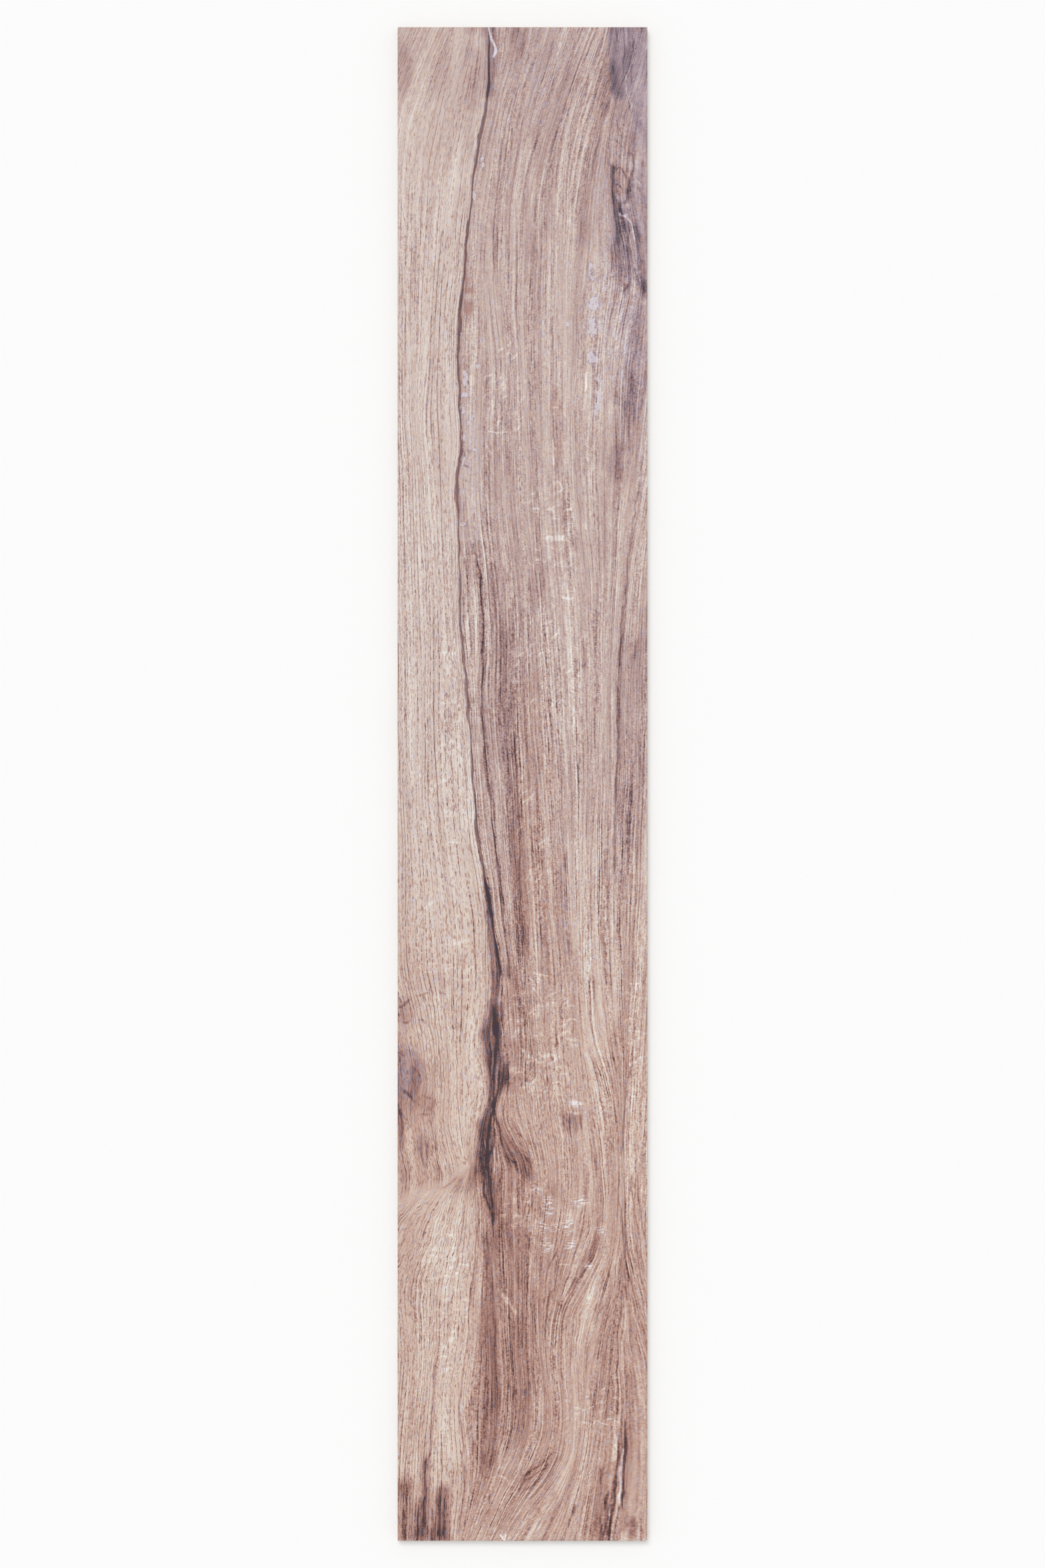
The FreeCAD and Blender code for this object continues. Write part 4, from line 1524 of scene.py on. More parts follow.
@dataclass(frozen=True)
class Ink:
    """Thin lines of the print and painted glints, with slightly ragged edges and uneven strength."""

    dark_blur: float = 0.45
    pale_blur: float = 0.6
    ragged: Pattern = Pattern((3.0, 9.0), 43.4, 2.0)
    ragged_least: float = 0.5
    ragged_gain: float = 1.2
    uneven: Pattern = Pattern((6.0, 14.0), 47.6, 2.0)
    uneven_least: float = 0.5

    def draw(self, kit: NodeKit, layer: Print, grain: Port) -> Port:
        """Draws one layer of lines.

        Args:
            kit: The tree to draw in.
            layer: The attribute that holds the layer.
            grain: The grain coordinates.

        Returns:
            How much ink lies at each place, as a share of the full level.
        """
        blur = self.dark_blur if layer is Print.DARK else self.pale_blur
        offset, half, ink = kit.parts(layer.read(kit))
        ragged = kit.swing(grain, self.ragged) * (half * self.ragged_gain + self.ragged_least)
        cover = kit.rise(half - abs(offset + ragged), -blur, blur)
        return cover * ink * (kit.noise(grain, self.uneven) + self.uneven_least)


@dataclass(frozen=True)
class SheenMarks:
    """Painted glints along pale scratches and lilac patches of painted reflection with darker rims, where
    drawn.
    """

    scratch_glints: Pattern = Pattern((4.2, 0.9), 39.7, low=0.47, high=0.58)
    glint_lift: float = 0.25
    sheen_patches: Pattern = Pattern((2.6, 4.4), 83.6, low=0.86, high=0.98)
    sheen_push: float = 0.5
    sheen_level: float = 0.805
    sheen_share: float = 0.75
    rim_span: Span = (0.82, 0.88)
    rim_depth: float = 0.13

    def draw(self, kit: NodeKit, place: Port, level: Port) -> tuple[Port, Port]:
        """Draws the painted glints and reflections over the wood.

        Args:
            kit: The tree to draw in.
            place: The place on the face, in millimetres.
            level: The level of the wood.

        Returns:
            The level with the marks, and how much of them shows.
        """
        scratch_glint, sheen, _ = kit.parts(Print.MARKS.read(kit))
        scratch_glints = kit.marks(place, self.scratch_glints) * scratch_glint
        patch = kit.noise(place, self.sheen_patches) + sheen * self.sheen_push
        sheen_patches = kit.rise(patch, self.sheen_patches.low, self.sheen_patches.high)
        rims = kit.rise(patch, *self.rim_span) - sheen_patches
        level = level + scratch_glints * self.glint_lift - rims * self.rim_depth
        return kit.blend(sheen_patches * self.sheen_share, level, self.sheen_level), scratch_glints + sheen_patches + rims


@dataclass(frozen=True)
class Chip:
    """The small white chip at the foot edge, as two short strokes."""

    strokes: tuple[tuple[Point, Point], ...] = (
        ((-17.4, -595.4), (-14.6, -599.4)),
        ((-13.2, -595.2), (-14.2, -599.4)),
    )
    half: float = 0.55
    blur: float = 0.3
    level: float = 0.93

    def draw(self, kit: NodeKit, place: Port, level: Port) -> Port:
        """Draws the chip over the print.

        Args:
            kit: The tree to draw in.
            place: The place on the face, in millimetres.
            level: The level of the print.

        Returns:
            The level with the chip.
        """
        gaps = []
        for start, end in self.strokes:
            leg = (end[0] - start[0], end[1] - start[1], 0.0)
            scaled = tuple(part / (leg[0] ** 2 + leg[1] ** 2) for part in leg)
            offset = kit.vectors("SUBTRACT", place, (*start, 0.0))
            run = kit.vectors("DOT_PRODUCT", offset, scaled, "Value")
            run = kit.maths("MAXIMUM", kit.maths("MINIMUM", run, 1.0), 0.0)
            gaps.append(kit.vectors("DISTANCE", offset, kit.vector(run * leg[0], run * leg[1]), "Value"))
        share = kit.rise(self.half - kit.maths("MINIMUM", *gaps), -self.blur, self.blur)
        return kit.blend(share, level, self.level)


@dataclass(frozen=True)
class WoodGlaze:
    """The matt printed glaze of the face."""

    name: str = "wood_print_glaze"
    roughness: float = 0.46
    fibre_rough: float = 0.3
    pale_gloss: float = 0.6
    specular: float = 0.22
    bump: float = 0.12
    bump_strength: float = 0.5
    fibre_height: float = 2.0
    pore_drop: float = 0.8
    line_drop: float = 3.0
    streaks: Streaks = Streaks()
    patches: Pattern = Pattern((8.0, 150.0), 11.7, low=0.3, high=0.7)
    patch_span: Span = (0.65, 1.35)
    scribble: Pattern = Pattern((1.2, 2.8), 71.3)
    scribble_size: float = 0.75
    tangle_start: float = 0.55
    tangle_share: float = 0.75
    sunk_span: Span = (0.8, 2.4)
    bands: Pattern = Pattern((4.6, 190.0), 5.1, 2.0)
    band_depth: float = 0.24
    pores: Pores = Pores()
    pore_depth: float = 0.34
    ink: Ink = Ink()
    marks: SheenMarks = SheenMarks()
    chip: Chip = Chip()
    hue: Pattern = Pattern((1.3, 5.0), 37.3)
    hue_middle: float = 0.54
    hue_size: float = 3.6
    hue_warmth: float = 0.5
    pore_warmth: float = 0.8
    pale_and_glint_lilac: float = 4.0
    sideways: Pattern = Pattern((6.0, 14.0), 61.4)
    side_span: Span = (0.25, 3.75)
    lengthways: Pattern = Pattern((7.0, 9.0), 63.8)
    length_gain: float = 12.0

    def material(self) -> bpy.types.Material:
        """Builds the material, which reads the painted print from the piece's attributes.

        Returns:
            The new material.
        """
        made = empty_material(self.name)
        kit = NodeKit(made.node_tree)
        tone, lilac, rust = kit.parts(Print.TONE.read(kit))
        pore, fibre, spread = kit.parts(Print.TEXTURE.read(kit))
        grain, wild = self.loosen(kit, Print.GRAIN.read(kit))
        tangled = kit.rise(wild, self.tangle_start, 1.0)
        patches = kit.between(kit.marks(grain, self.patches), self.patch_span)
        scribble = kit.swing(grain, self.scribble) * self.scribble_size
        fibres = self.streaks.draw(kit, grain, spread) * patches
        fibres = kit.blend(tangled * self.tangle_share, fibres, scribble)
        bands = kit.swing(grain, self.bands)
        pores = self.pores.draw(kit, grain, scribble, tangled) * pore
        # The pale layer holds pale lines of the print and painted glints, which turn lilac and glossier
        dark, pale, ray = (self.ink.draw(kit, layer, grain) for layer in (Print.DARK, Print.PALE, Print.RAY))
        sunk = fibres * fibres * kit.between(pore, self.sunk_span)
        level = tone + (fibres - sunk) * fibre + bands * self.band_depth
        level = level - pores * self.pore_depth + ray - dark + pale

        place = kit.place((1.0, 1.0, 0.0))
        # Painted glints along scratches and lilac patches of painted reflection go over the wood
        level, marks = self.marks.draw(kit, place, level)
        level = self.chip.draw(kit, place, level)
        hue = (kit.noise(place, self.hue) - self.hue_middle) * self.hue_size
        warmth = rust - hue * self.hue_warmth + pores * self.pore_warmth
        wood = kit.mix(warmth, kit.ramp(level, WOOD_STOPS), kit.ramp(level, WARM_STOPS))
        cool = lilac + hue + pale * self.pale_and_glint_lilac + dark + marks
        print_colour = kit.mix(cool, wood, kit.ramp(level, LILAC_STOPS))

        height = fibres * self.fibre_height - pores * self.pore_drop - dark * self.line_drop
        kit.surface({
            "Base Color": print_colour,
            "Roughness": self.roughness + fibres * self.fibre_rough - pale * self.pale_gloss,
            "Normal": kit.bump(height, self.bump_strength, self.bump),
            "Specular IOR Level": self.specular,
        })
        return made

    def loosen(self, kit: NodeKit, grain: Port) -> tuple[Port, Port]:
        """Lets the grain lines wander a little, further where the grain is wild.

        Args:
            kit: The tree to work in.
            grain: The grain coordinates, whose third number is how wild the grain is.

        Returns:
            The loosened coordinates, and how wild the grain is.
        """
        _, _, wild = kit.parts(grain)
        sideways = kit.swing(grain, self.sideways) * kit.between(wild, self.side_span)
        lengthways = kit.swing(grain, self.lengthways) * wild * self.length_gain
        return kit.vectors("ADD", grain, kit.vector(sideways, lengthways)), wild


@dataclass(frozen=True)
class PorcelainBody:
    """The unglazed body of the edges and the back: pale, dense and ground or pressed smooth."""

    name: str = "porcelain_body"
    light: tuple[float, float, float] = (214.0, 205.0, 194.0)
    deep: tuple[float, float, float] = (198.0, 187.0, 174.0)
    speck: tuple[float, float, float] = (150.0, 136.0, 122.0)
    cloud: Pattern = Pattern((40.0, 60.0), 3.0, 2.0)
    specks: Pattern = Pattern((0.8, 0.8), 6.0, 1.0, 0.66, 0.74)
    speck_share: float = 0.25
    pressing: Pattern = Pattern((1.5, 1.5), 8.0, 2.0)
    bump: float = 0.1
    bump_strength: float = 0.3
    roughness: float = 0.62
    specular: float = 0.4

    def material(self) -> bpy.types.Material:
        """Builds the material from cloudy tone, fine specks and a bump of pressing marks.

        Returns:
            The new material.
        """
        made = empty_material(self.name)
        kit = NodeKit(made.node_tree)
        place = kit.place((1.0, 1.0, 1.0))
        body = kit.mix(kit.noise(place, self.cloud), colour(*self.deep), colour(*self.light))
        specked = kit.mix(kit.marks(place, self.specks) * self.speck_share, body, colour(*self.speck))
        kit.surface({
            "Base Color": specked,
            "Roughness": self.roughness,
            "Normal": kit.bump(kit.noise(place, self.pressing), self.bump_strength, self.bump),
            "Specular IOR Level": self.specular,
        })
        return made


class NodeGeometry:
    """One Geometry Nodes tree with named inputs, run once on an object and turned into a plain mesh."""

    def __init__(self, name: str, inputs: Mapping[str, float]) -> None:
        """Starts a tree.

        Args:
            name: The tree's name.
            inputs: The names and values of its number inputs.
        """
        self.tree = bpy.data.node_groups.new(name, "GeometryNodeTree")
        self.values = dict(inputs)
        self.keys: dict[str, str] = {}
        self.tree.interface.new_socket("Geometry", in_out="INPUT", socket_type="NodeSocketGeometry")
        for label in inputs:
            made = self.tree.interface.new_socket(label, in_out="INPUT", socket_type="NodeSocketFloat")
            self.keys[label] = made.identifier
        self.tree.interface.new_socket("Geometry", in_out="OUTPUT", socket_type="NodeSocketGeometry")
        self.kit = NodeKit(self.tree)
        self.source = self.kit.node("NodeGroupInput")

    def given(self, label: str) -> Port:
        """Gives one input of the tree as a port."""
        return Port(self.kit, self.source.outputs[label])

    def finish(self, geometry: Port, materials: Sequence[tuple[bpy.types.Material, Value]]) -> None:
        """Ends the tree with Realize Instances and Set Material.

        Args:
            geometry: What the tree made.
            materials: Each material and the faces that take it, in order.
        """
        whole = self.kit.port("GeometryNodeRealizeInstances", "Geometry", sockets={"Geometry": geometry})
        for material, faces in materials:
            sockets = {"Geometry": whole, "Selection": faces, "Material": material}
            whole = self.kit.port("GeometryNodeSetMaterial", "Geometry", sockets=sockets)
        end = self.kit.node("NodeGroupOutput")
        self.tree.links.new(whole.socket, end.inputs["Geometry"])

    def run(self, piece: bpy.types.Object) -> bpy.types.Mesh:
        """Evaluates the tree on an object.

        Args:
            piece: The object that the tree starts from. It is left without the modifier.

        Returns:
            The result as a plain mesh.
        """
        modifier = piece.modifiers.new(self.tree.name, "NODES")
        modifier.node_group = self.tree
        for label, key in self.keys.items():
            modifier[key] = self.values[label]
        graph = bpy.context.evaluated_depsgraph_get()
        result = bpy.data.meshes.new_from_object(piece.evaluated_get(graph), depsgraph=graph)
        piece.modifiers.remove(modifier)
        return result


def new_piece(name: str, mesh: bpy.types.Mesh) -> bpy.types.Object:
    """Puts a mesh into the scene as an object at the origin.

    Args:
        name: The object's name.
        mesh: Its mesh.

    Returns:
        The new object.
    """
    piece = bpy.data.objects.new(name, mesh)
    bpy.context.scene.collection.objects.link(piece)
    return piece


@dataclass(frozen=True)
class KeyedBack:
    """The lattice of pressed pockets on the back, one cell repeated over the field inside the rim."""

    width: float
    length: float
    rim: float = 15.0
    rib: float = 4.0
    across: int = 7
    along: int = 49
    depth: float = 0.7
    wall_slope: float = 40.0
    centre_reach: float = 1.0
    weld: float = 0.01

    @property
    def step(self) -> Point:
        """Gives the size of one cell across and along."""
        edges = 2 * self.rim - self.rib
        return (self.width - edges) / self.across, (self.length - edges) / self.along

    @property
    def field_size(self) -> Point:
        """Gives the size of the whole lattice across and along."""
        return self.step[0] * self.across, self.step[1] * self.along

    @property
    def lines(self) -> tuple[list[float], list[float]]:
        """Gives where cells and their pockets start and end, without the lattice's two ends.

        Returns:
            The places across and the places along, in order.
        """
        found = []
        for count, step in zip((self.across, self.along), self.step):
            starts = [(number - count / 2) * step for number in range(count)]
            parts = (0.0, self.rib / 2, step - self.rib / 2)
            found.append([start + part for start in starts for part in parts][1:])
        return found[0], found[1]

    def build(self, material: bpy.types.Material) -> bpy.types.Mesh:
        """Makes the lattice sheet with Geometry Nodes: one pocket cell on each point of a grid.

        Args:
            material: The finish of the back.

        Returns:
            The sheet in millimetres, facing down, with its ribs on the bed plane.
        """
        cell_width, cell_length = self.step
        inputs = {"Cell width": cell_width, "Cell length": cell_length, "Rib": self.rib, "Depth": self.depth}
        nodes = NodeGeometry("keyed_back", inputs)
        kit = nodes.kit
        width, length = nodes.given("Cell width"), nodes.given("Cell length")
        rib, depth = nodes.given("Rib"), nodes.given("Depth")
        cell = kit.port("GeometryNodeMeshGrid", "Mesh", sockets={
            "Size X": width, "Size Y": length,
            "Vertices X": CELL_PARTS + 1, "Vertices Y": CELL_PARTS + 1,
        })
        x, y, _ = kit.parts(kit.port("GeometryNodeInputPosition", "Position"))
        mouth = kit.vector(self.mouth_line(kit, x, width, rib), self.mouth_line(kit, y, length, rib))
        cell = kit.port("GeometryNodeSetPosition", "Geometry", sockets={"Geometry": cell, "Position": mouth})
        centre = abs(x) + abs(y) < self.centre_reach
        pressed = kit.node("GeometryNodeExtrudeMesh", sockets={
            "Mesh": cell, "Selection": centre, "Offset": kit.vector(z=depth), "Offset Scale": 1.0,
        })
        run = 2.0 * math.tan(math.radians(self.wall_slope))
        shrink_x = 1.0 - kit.maths("DIVIDE", depth * run, width - rib)
        shrink_y = 1.0 - kit.maths("DIVIDE", depth * run, length - rib)
        shrink = kit.vector(shrink_x, shrink_y, 1.0)
        place = kit.port("GeometryNodeInputPosition", "Position")
        cell = kit.port("GeometryNodeSetPosition", "Geometry", sockets={
            "Geometry": Port(kit, pressed.outputs["Mesh"]), "Selection": Port(kit, pressed.outputs["Top"]),
            "Position": kit.vectors("MULTIPLY", place, shrink),
        })
        points = kit.port("GeometryNodeMeshGrid", "Mesh", sockets={
            "Size X": width * (self.across - 1), "Size Y": length * (self.along - 1),
            "Vertices X": self.across, "Vertices Y": self.along,
        })
        sockets = {"Points": points, "Instance": cell}
        cells = kit.port("GeometryNodeInstanceOnPoints", "Instances", sockets=sockets)
        sheet = kit.port("GeometryNodeRealizeInstances", "Geometry", sockets={"Geometry": cells})
        sockets = {"Geometry": sheet, "Distance": self.weld}
        sheet = kit.port("GeometryNodeMergeByDistance", "Geometry", sockets=sockets)
        sheet = kit.port("GeometryNodeFlipFaces", "Mesh", sockets={"Mesh": sheet})
        nodes.finish(sheet, [(material, True)])
        seed = new_piece("keyed_back_seed", bpy.data.meshes.new("keyed_back_seed"))
        mesh = nodes.run(seed)
        bpy.data.objects.remove(seed)
        return mesh

    def mouth_line(self, kit: NodeKit, place: Port, size: Port, rib: Port) -> Port:
        """Moves the inner lines of a cell's grid to the mouth of its pocket.

        Args:
            kit: The tree to work in.
            place: The place of a vertex along one axis.
            size: The cell's size along that axis.
            rib: The width of a rib.

        Returns:
            The new place along the axis.
        """
        inner = abs(place) < size * (1.0 / CELL_PARTS)
        ratio = kit.maths("DIVIDE", size - rib, size) * CELL_PARTS
        return place * (1.0 + inner * (ratio - 1.0))


class Chart(Enum):
    """The charts of the bake map: where each starts and how large it is, from 0 to 1 across and up."""

    HEAD = (0.002, 0.002, 0.42, 0.996)
    FOOT = (0.426, 0.002, 0.42, 0.996)
    BACK = (0.85, 0.002, 0.1, 0.996)
    LEFT = (0.954, 0.002, 0.01, 0.996)
    RIGHT = (0.968, 0.002, 0.01, 0.996)
    TOP = (0.982, 0.002, 0.012, 0.4)
    BOTTOM = (0.982, 0.5, 0.012, 0.4)

    def spots(self, corners: Array, size: Array) -> Array:
        """Places the corners of one face on the map.

        Args:
            corners: The corners, in millimetres.
            size: The plank's width, length and thickness.

        Returns:
            One place on the map for each corner.
        """
        left, low, width, height = self.value
        across, along, up = (corners / size).T
        across, along = across + MIDDLE, along + MIDDLE
        if self in (Chart.HEAD, Chart.FOOT):
            along = along * 2.0 - (1.0 if self is Chart.HEAD else 0.0)
        elif self in (Chart.LEFT, Chart.RIGHT):
            across = up
        elif self in (Chart.TOP, Chart.BOTTOM):
            across, along = up, across
        return np.column_stack((left + across * width, low + along * height))


@dataclass
class PlankTile:
    """The fired plank: printed face, bevels, ground edges and keyed back in one closed mesh."""

    half_width: float
    half_length: float
    thickness: float
    face_bevel: float = 0.7
    back_bevel: float = 1.0
    cells_across: int = 160
    cells_along: int = 538
    corner_round: float = 2.0
    level_limit: float = 0.5
    weld: float = 0.02
    touch: float = 0.01
    # How far from the bevel the relief starts and is full, and how deep its parts are
    relief_start: float = 0.1
    relief_full: float = 3.0
    fine: Pattern = Pattern((3.0, 130.0), 5.1, 2.0)
    grain_depth: float = 0.12
    broad: Pattern = Pattern((14.0, 60.0), 55.0)
    hollow_depth: float = 0.2
    groove_reach: float = 1.0
    groove_run: float = 1.2
    line_depth: float = 1.6
    vertices: list[tuple[float, float, float]] = field(default_factory=list)
    faces: list[tuple[int, ...]] = field(default_factory=list)
    glazed: list[bool] = field(default_factory=list)

    def build(self, glaze: bpy.types.Material, body: bpy.types.Material) -> bpy.types.Object:
        """Builds the piece.

        Args:
            glaze: The finish of the face and its bevel.
            body: The finish of the edges and the back.

        Returns:
            The finished piece, at the origin.
        """
        back = KeyedBack(2 * self.half_width, 2 * self.half_length)
        face_loop = self.add_face()
        arris = self.add_arris(face_loop)
        self.join(arris, face_loop, True)
        lower = self.add_coarse_ring(back, self.half_width, self.half_length, self.back_bevel)
        self.zip_edges(lower, arris, back)
        inset_x, inset_y = self.half_width - self.back_bevel, self.half_length - self.back_bevel
        bed = self.add_coarse_ring(back, inset_x, inset_y, 0.0)
        self.join(bed, lower, False)
        inner = self.add_coarse_ring(back, back.field_size[0] / 2, back.field_size[1] / 2, 0.0)
        self.join(inner, bed, False)
        self.add_sheet(back.build(body))
        blank = self.blank_object()
        self.dress(blank)
        finished = self.relief(glaze, body).run(blank)
        bpy.data.objects.remove(blank)
        piece = new_piece("plank_tile_fired", finished)
        self.lay_out(piece)
        return piece

    def add_faces(self, faces: Sequence[tuple[int, ...]], glazed: bool) -> None:
        """Adds faces that all carry the glaze, or all don't."""
        self.faces += faces
        self.glazed += [glazed] * len(faces)

    def add_face(self) -> list[int]:
        """Adds the grid of the face and gives the loop of vertices round it, anticlockwise."""
        columns, rows = self.cells_across + 1, self.cells_along + 1
        across = np.linspace(-1.0, 1.0, columns) * (self.half_width - self.face_bevel)
        along = np.linspace(-1.0, 1.0, rows) * (self.half_length - self.face_bevel)
        self.vertices += [(float(x), float(y), self.thickness) for y in along for x in across]
        starts = [row * columns + cell for row in range(rows - 1) for cell in range(columns - 1)]
        self.add_faces([(low, low + 1, low + columns + 1, low + columns) for low in starts], True)
        last = (rows - 1) * columns
        loop = list(range(columns))
        loop += [row * columns + columns - 1 for row in range(1, rows)]
        loop += [last + column for column in range(columns - 2, -1, -1)]
        loop += [row * columns for row in range(rows - 2, 0, -1)]
        return loop

    def add_arris(self, loop: Sequence[int]) -> list[int]:
        """Adds the ring below the face's bevel: the face's border, moved out to the ground edges.

        Args:
            loop: The vertices of the face's border.

        Returns:
            The new ring's vertices in the same order.
        """
        start = len(self.vertices)
        inner_x, inner_y = self.half_width - self.face_bevel, self.half_length - self.face_bevel
        for index in loop:
            x, y, _ = self.vertices[index]
            on_side, on_end = abs(x) > inner_x - self.touch, abs(y) > inner_y - self.touch
            moved_x = math.copysign(self.half_width, x) if on_side else x
            moved_y = math.copysign(self.half_length, y) if on_end else y
            self.vertices.append((moved_x, moved_y, self.thickness - self.face_bevel))
        return list(range(start, len(self.vertices)))

    def add_coarse_ring(self, back: KeyedBack, half_x: float, half_y: float, height: float) -> list[int]:
        """Adds a ring with a vertex wherever a cell of the lattice or its pocket starts or ends.

        Args:
            back: The lattice.
            half_x: Half the ring's width.
            half_y: Half the ring's length.
            height: Where the ring lies.

        Returns:
            The ring's vertices, anticlockwise from the left foot corner.
        """
        start = len(self.vertices)
        lines_x, lines_y = back.lines
        ring = [(x, -half_y) for x in [-half_x, *lines_x, half_x]]
        ring += [(half_x, y) for y in lines_y]
        ring += [(x, half_y) for x in [half_x, *reversed(lines_x), -half_x]]
        ring += [(-half_x, y) for y in reversed(lines_y)]
        self.vertices += [(x, y, height) for x, y in ring]
        return list(range(start, len(self.vertices)))

    def join(self, lower: Sequence[int], upper: Sequence[int], glazed: bool) -> None:
        """Joins two rings of equal count with quads that face outwards.

        Args:
            lower: The outer or lower ring.
            upper: The inner or upper ring.
            glazed: Whether the new faces carry the glaze.
        """
        following = [*range(1, len(lower)), 0]
        steps = list(enumerate(following))
        self.add_faces([(lower[at], lower[after], upper[after], upper[at]) for at, after in steps], glazed)

    def zip_edges(self, lower: Sequence[int], upper: Sequence[int], back: KeyedBack) -> None:
        """Closes the four ground edges between a coarse ring below and a fine ring above.

        Args:
            lower: The coarse ring.
            upper: The fine ring.
            back: The lattice, whose lines the coarse ring has.
        """
        coarse = [len(lines) + 1 for lines in back.lines] * 2
        fine = [self.cells_across, self.cells_along] * 2
        low_start, high_start = 0, 0
        for low_count, high_count in zip(coarse, fine):
            low = [lower[(low_start + step) % len(lower)] for step in range(low_count + 1)]
            high = [upper[(high_start + step) % len(upper)] for step in range(high_count + 1)]
            self.zip_side(low, high)
            low_start += low_count
            high_start += high_count

    def zip_side(self, low: Sequence[int], high: Sequence[int]) -> None:
        """Fills one edge with triangles between two rows of vertices.

        Args:
            low: The lower row.
            high: The upper row, with more vertices.
        """
        low_at, high_at = 0, 0
        low_end, high_end = len(low) - 1, len(high) - 1
        faces = []
        while low_at < low_end or high_at < high_end:
            low_next = (low_at + 1) / low_end if low_at < low_end else math.inf
            high_next = (high_at + 1) / high_end if high_at < high_end else math.inf
            if low_next < high_next:
                faces.append((low[low_at], low[low_at + 1], high[high_at]))
                low_at += 1
            else:
                faces.append((low[low_at], high[high_at + 1], high[high_at]))
                high_at += 1
        self.add_faces(faces, False)

    def add_sheet(self, mesh: bpy.types.Mesh) -> None:
        """Adds the faces of the lattice sheet.

        Args:
            mesh: The sheet, in millimetres. It is removed afterwards.
        """
        start = len(self.vertices)
        self.vertices += [tuple(vertex.co) for vertex in mesh.vertices]
        polygons = [polygon.vertices for polygon in mesh.polygons]
        self.add_faces([tuple(start + index for index in corners) for corners in polygons], False)
        bpy.data.meshes.remove(mesh)

    def blank_object(self) -> bpy.types.Object:
        """Makes one welded mesh of what was added, in metres, and gives it as an object."""
        mesh = bpy.data.meshes.new("plank_blank")
        mesh.from_pydata([tuple(part * MM for part in vertex) for vertex in self.vertices], [], self.faces)
        glazed = mesh.attributes.new(Print.GLAZED.value, "BOOLEAN", "FACE")
        glazed.data.foreach_set("value", self.glazed)
        work = bmesh.new()
        work.from_mesh(mesh)
        bmesh.ops.remove_doubles(work, verts=work.verts, dist=self.weld * MM)
        work.to_mesh(mesh)
        work.free()
        return new_piece("plank_blank", mesh)

    def dress(self, blank: bpy.types.Object) -> None:
        """Writes the print to the blank and takes the worn corner off.

        Args:
            blank: The welded blank.
        """
        mesh = blank.data
        places = np.empty(len(mesh.vertices) * 3)
        mesh.vertices.foreach_get("co", places)
        places = places.reshape(-1, 3)
        x, y, z = (places / MM).T
        drawn = WoodDrawing().draw(x, y)
        for name, values in drawn.attributes().items():
            name.write(mesh, values)
        edge = np.minimum(self.half_width - np.abs(x), self.half_length - np.abs(y))
        share = ease(edge, self.face_bevel + self.relief_start, self.face_bevel + self.relief_full)
        Print.RELIEF.write(mesh, share * (z > self.thickness - self.touch))
        self.round_corner(places)
        mesh.vertices.foreach_set("co", places.ravel())

    def round_corner(self, places: Array) -> None:
        """Rounds the worn corner of the face at the foot of the right edge.

        Args:
            places: The vertices in metres, which are moved.
        """
        centre = np.array([self.half_width - self.corner_round, -self.half_length + self.corner_round]) * MM
        out = places[:, :2] - centre
        beyond = (out[:, 0] > 0) & (out[:, 1] < 0) & (places[:, 2] > self.thickness * MM / 2)
        size = np.hypot(out[:, 0], out[:, 1])
        far = beyond & (size > self.corner_round * MM)
        places[far, :2] = centre + out[far] / size[far, None] * self.corner_round * MM

    def relief(self, glaze: bpy.types.Material, body: bpy.types.Material) -> NodeGeometry:
        """Builds the tree that presses the wood's relief into the face.

        Args:
            glaze: The finish of the glazed faces.
            body: The finish of the other faces.

        Returns:
            The tree, ready to run on the blank.
        """
        depths = (self.grain_depth, self.hollow_depth, self.line_depth)
        nodes = NodeGeometry("wood_relief", dict(zip(("Grain depth", "Hollow depth", "Line depth"), depths)))
        kit = nodes.kit
        grain = Print.GRAIN.named(kit, "FLOAT_VECTOR")
        share = Print.RELIEF.named(kit, "FLOAT")
        offset, half, ink = kit.parts(Print.DARK.named(kit, "FLOAT_VECTOR"))
        groove = kit.rise(half + self.groove_reach - abs(offset), 0.0, self.groove_run) * ink
        depth = kit.noise(grain, self.fine) * nodes.given("Grain depth")
        depth = depth + kit.noise(grain, self.broad) * nodes.given("Hollow depth")
        depth = (depth + groove * nodes.given("Line depth")) * share
        sockets = {"Geometry": nodes.given("Geometry"), "Offset": kit.vector(z=depth * -MM)}
        pressed = kit.port("GeometryNodeSetPosition", "Geometry", sockets=sockets)
        nodes.finish(pressed, [(body, True), (glaze, Print.GLAZED.named(kit, "BOOLEAN"))])
        return nodes

    def lay_out(self, piece: bpy.types.Object) -> None:
        """Shades the face smooth and gives the piece its own map for baking.

        The two halves of the face stand side by side, then the back, the long edges and the short edges.

        Args:
            piece: The finished piece.
        """
        mesh = piece.data
        glazed = np.empty(len(mesh.polygons), dtype=bool)
        mesh.attributes[Print.GLAZED.value].data.foreach_get("value", glazed)
        mesh.polygons.foreach_set("use_smooth", glazed)
        layer = mesh.uv_layers.new(name="OFBake")
        middles = np.array([polygon.center for polygon in mesh.polygons]) / MM
        normals = np.array([polygon.normal for polygon in mesh.polygons])
        places = np.array([vertex.co for vertex in mesh.vertices]) / MM
        size = np.array([2 * self.half_width, 2 * self.half_length, self.thickness])
        for polygon, glazed_face, middle, normal in zip(mesh.polygons, glazed, middles, normals):
            corners = places[list(polygon.vertices)]
            chart = self.chart(bool(glazed_face), middle, normal)
            for loop, spot in zip(polygon.loop_indices, chart.spots(corners, size)):
                layer.data[loop].uv = spot
        mesh.update()

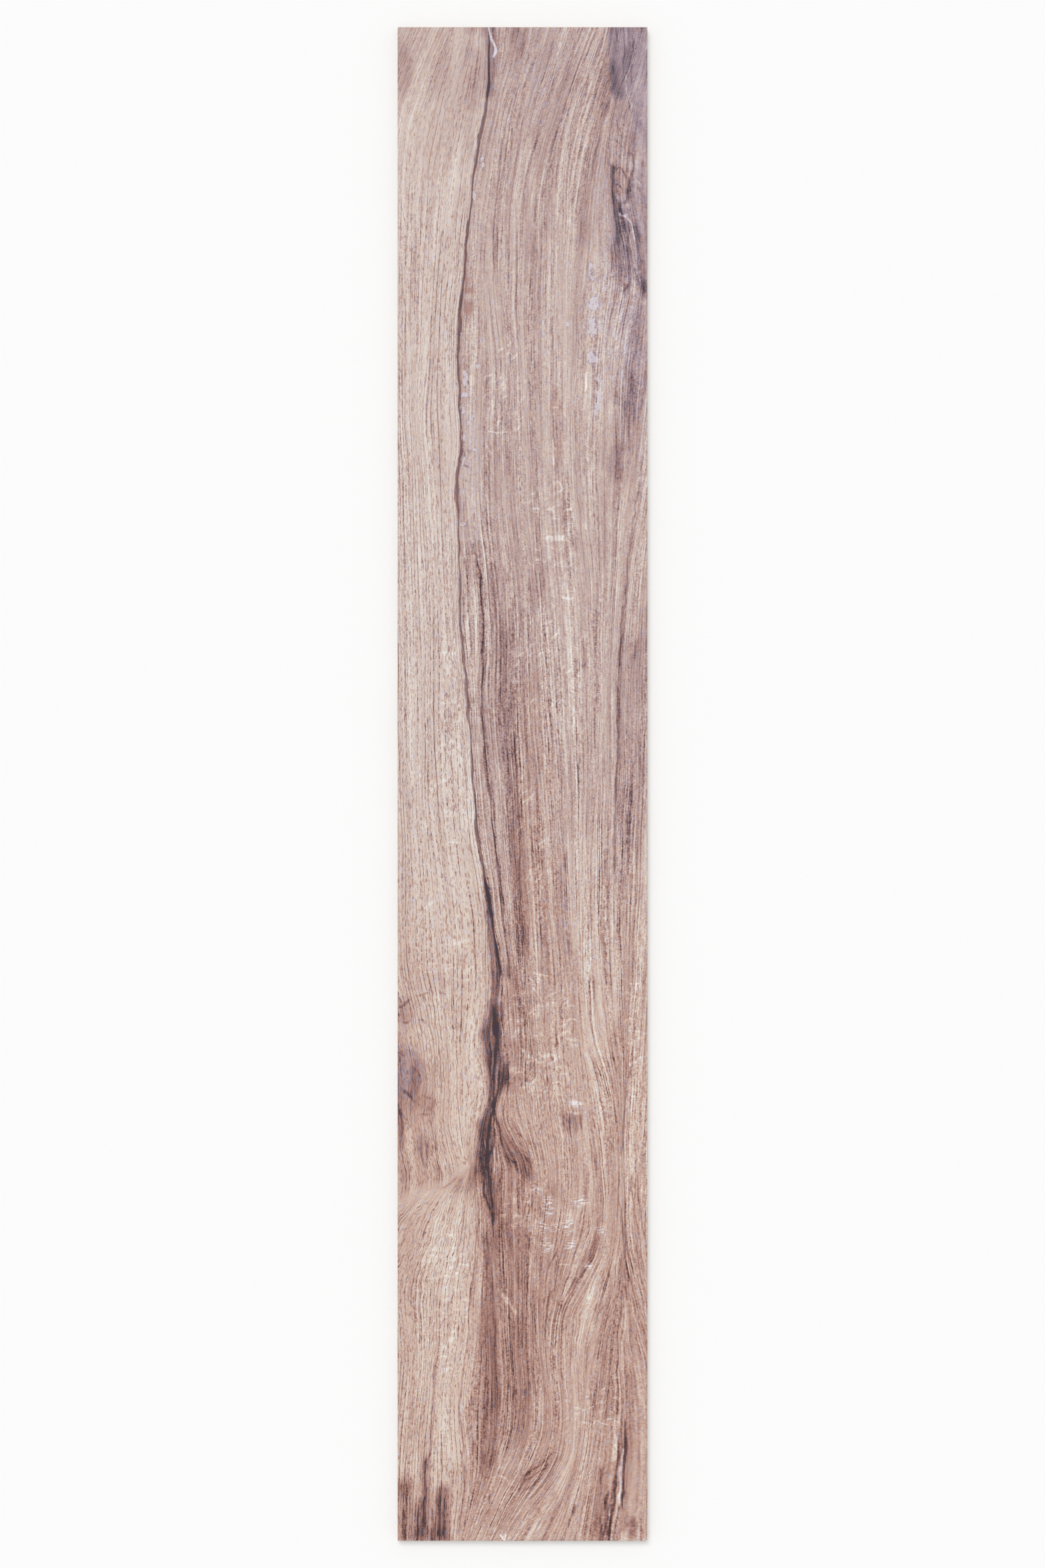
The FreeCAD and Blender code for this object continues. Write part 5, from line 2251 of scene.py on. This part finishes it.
    def chart(self, glazed: bool, middle: Array, normal: Array) -> Chart:
        """Gives the chart that one face of the mesh belongs to.

        Args:
            glazed: Whether the face carries the glaze.
            middle: The face's middle, in millimetres.
            normal: The way the face looks.

        Returns:
            The chart.
        """
        if glazed:
            return Chart.HEAD if middle[1] > 0.0 else Chart.FOOT
        if normal[2] < -self.level_limit or middle[2] < self.back_bevel:
            return Chart.BACK
        if abs(normal[0]) > abs(normal[1]):
            return Chart.RIGHT if normal[0] > 0.0 else Chart.LEFT
        return Chart.TOP if normal[1] > 0.0 else Chart.BOTTOM


@dataclass(frozen=True)
class Studio:
    """A white floor, soft light from all round and one broad lamp from the head of the plank."""

    floor_size: float = 12.0
    paper: Colour = (0.97, 0.97, 0.97, 1.0)
    paper_roughness: float = 0.9
    paper_specular: float = 0.2
    white: Colour = (1.0, 1.0, 1.0, 1.0)
    fill: float = 0.72
    lamp: float = 1.0
    lamp_height: float = 62.0
    lamp_turn: float = 20.0
    lamp_angle: float = 25.0

    def build(self) -> None:
        """Builds the floor, the sky and the lamp."""
        self.floor()
        self.sky()
        self.key_lamp()

    def floor(self) -> None:
        """Lays a plain white floor under the plank."""
        half = self.floor_size / 2
        mesh = bpy.data.meshes.new("studio_floor")
        corners = [(-half, -half, 0.0), (half, -half, 0.0), (half, half, 0.0), (-half, half, 0.0)]
        mesh.from_pydata(corners, [], [(0, 1, 2, 3)])
        paper = empty_material("studio_paper")
        NodeKit(paper.node_tree).surface({
            "Base Color": self.paper,
            "Roughness": self.paper_roughness,
            "Specular IOR Level": self.paper_specular,
        })
        mesh.materials.append(paper)
        new_piece("studio_floor", mesh)

    def sky(self) -> None:
        """Makes an even sky that the camera sees as white."""
        world = bpy.data.worlds.new("studio_sky")
        world.use_nodes = True
        world.node_tree.nodes.clear()
        kit = NodeKit(world.node_tree)
        rays = kit.node("ShaderNodeLightPath")
        names = ("Is Camera Ray", "Is Glossy Ray", "Is Transmission Ray")
        camera, glossy, transmission = (Port(kit, rays.outputs[name]) for name in names)
        direct = kit.maths("MINIMUM", camera + glossy + transmission, 1.0)
        sockets = {"Color": self.white, "Strength": self.fill + direct * (1.0 - self.fill)}
        light = kit.port("ShaderNodeBackground", "Background", sockets=sockets)
        kit.node("ShaderNodeOutputWorld", sockets={"Surface": light})
        bpy.context.scene.world = world

    def key_lamp(self) -> None:
        """Hangs the broad lamp above the head of the plank, a little to the left."""
        lamp = bpy.data.lights.new("studio_lamp", "SUN")
        lamp.energy = self.lamp
        lamp.angle = math.radians(self.lamp_angle)
        holder = bpy.data.objects.new("studio_lamp", lamp)
        tilt = math.radians(self.lamp_height) - math.pi / 2
        holder.rotation_euler = (tilt, 0.0, math.radians(self.lamp_turn))
        bpy.context.scene.collection.objects.link(holder)


@dataclass(frozen=True)
class ProductCamera:
    """A long lens straight above the plank, with the head of the plank at the top of the picture."""

    lens: float = 85.0
    sensor: float = 36.0
    seen_length: float = 1242.8
    face_height: float = 10.0

    def build(self) -> None:
        """Sets the camera up and makes it the scene's own."""
        camera = bpy.data.cameras.new("product_camera")
        camera.lens = self.lens
        camera.sensor_width = self.sensor
        camera.sensor_fit = "AUTO"
        holder = bpy.data.objects.new("product_camera", camera)
        holder.location = (0.0, 0.0, (self.face_height + self.seen_length * self.lens / self.sensor) * MM)
        bpy.context.scene.collection.objects.link(holder)
        bpy.context.scene.camera = holder


def main() -> None:
    """Builds the studio, the camera and the plank."""
    logging.basicConfig(level=logging.INFO, format="%(name)s: %(message)s")
    bpy.context.scene.view_settings.view_transform = "Standard"
    Studio().build()
    ProductCamera().build()
    low, high = (np.array(corner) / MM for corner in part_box("plank_tile"))
    half_width, half_length, _ = (high - low) / 2
    tile = PlankTile(float(half_width), float(half_length), float(high[2] - low[2]))
    piece = tile.build(WoodGlaze().material(), PorcelainBody().material())
    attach(piece, "root")
    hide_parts("plank_tile")
    LOG.info("%s: %d vertices, %d faces", piece.name, len(piece.data.vertices), len(piece.data.polygons))


if __name__ == "__main__":
    main()
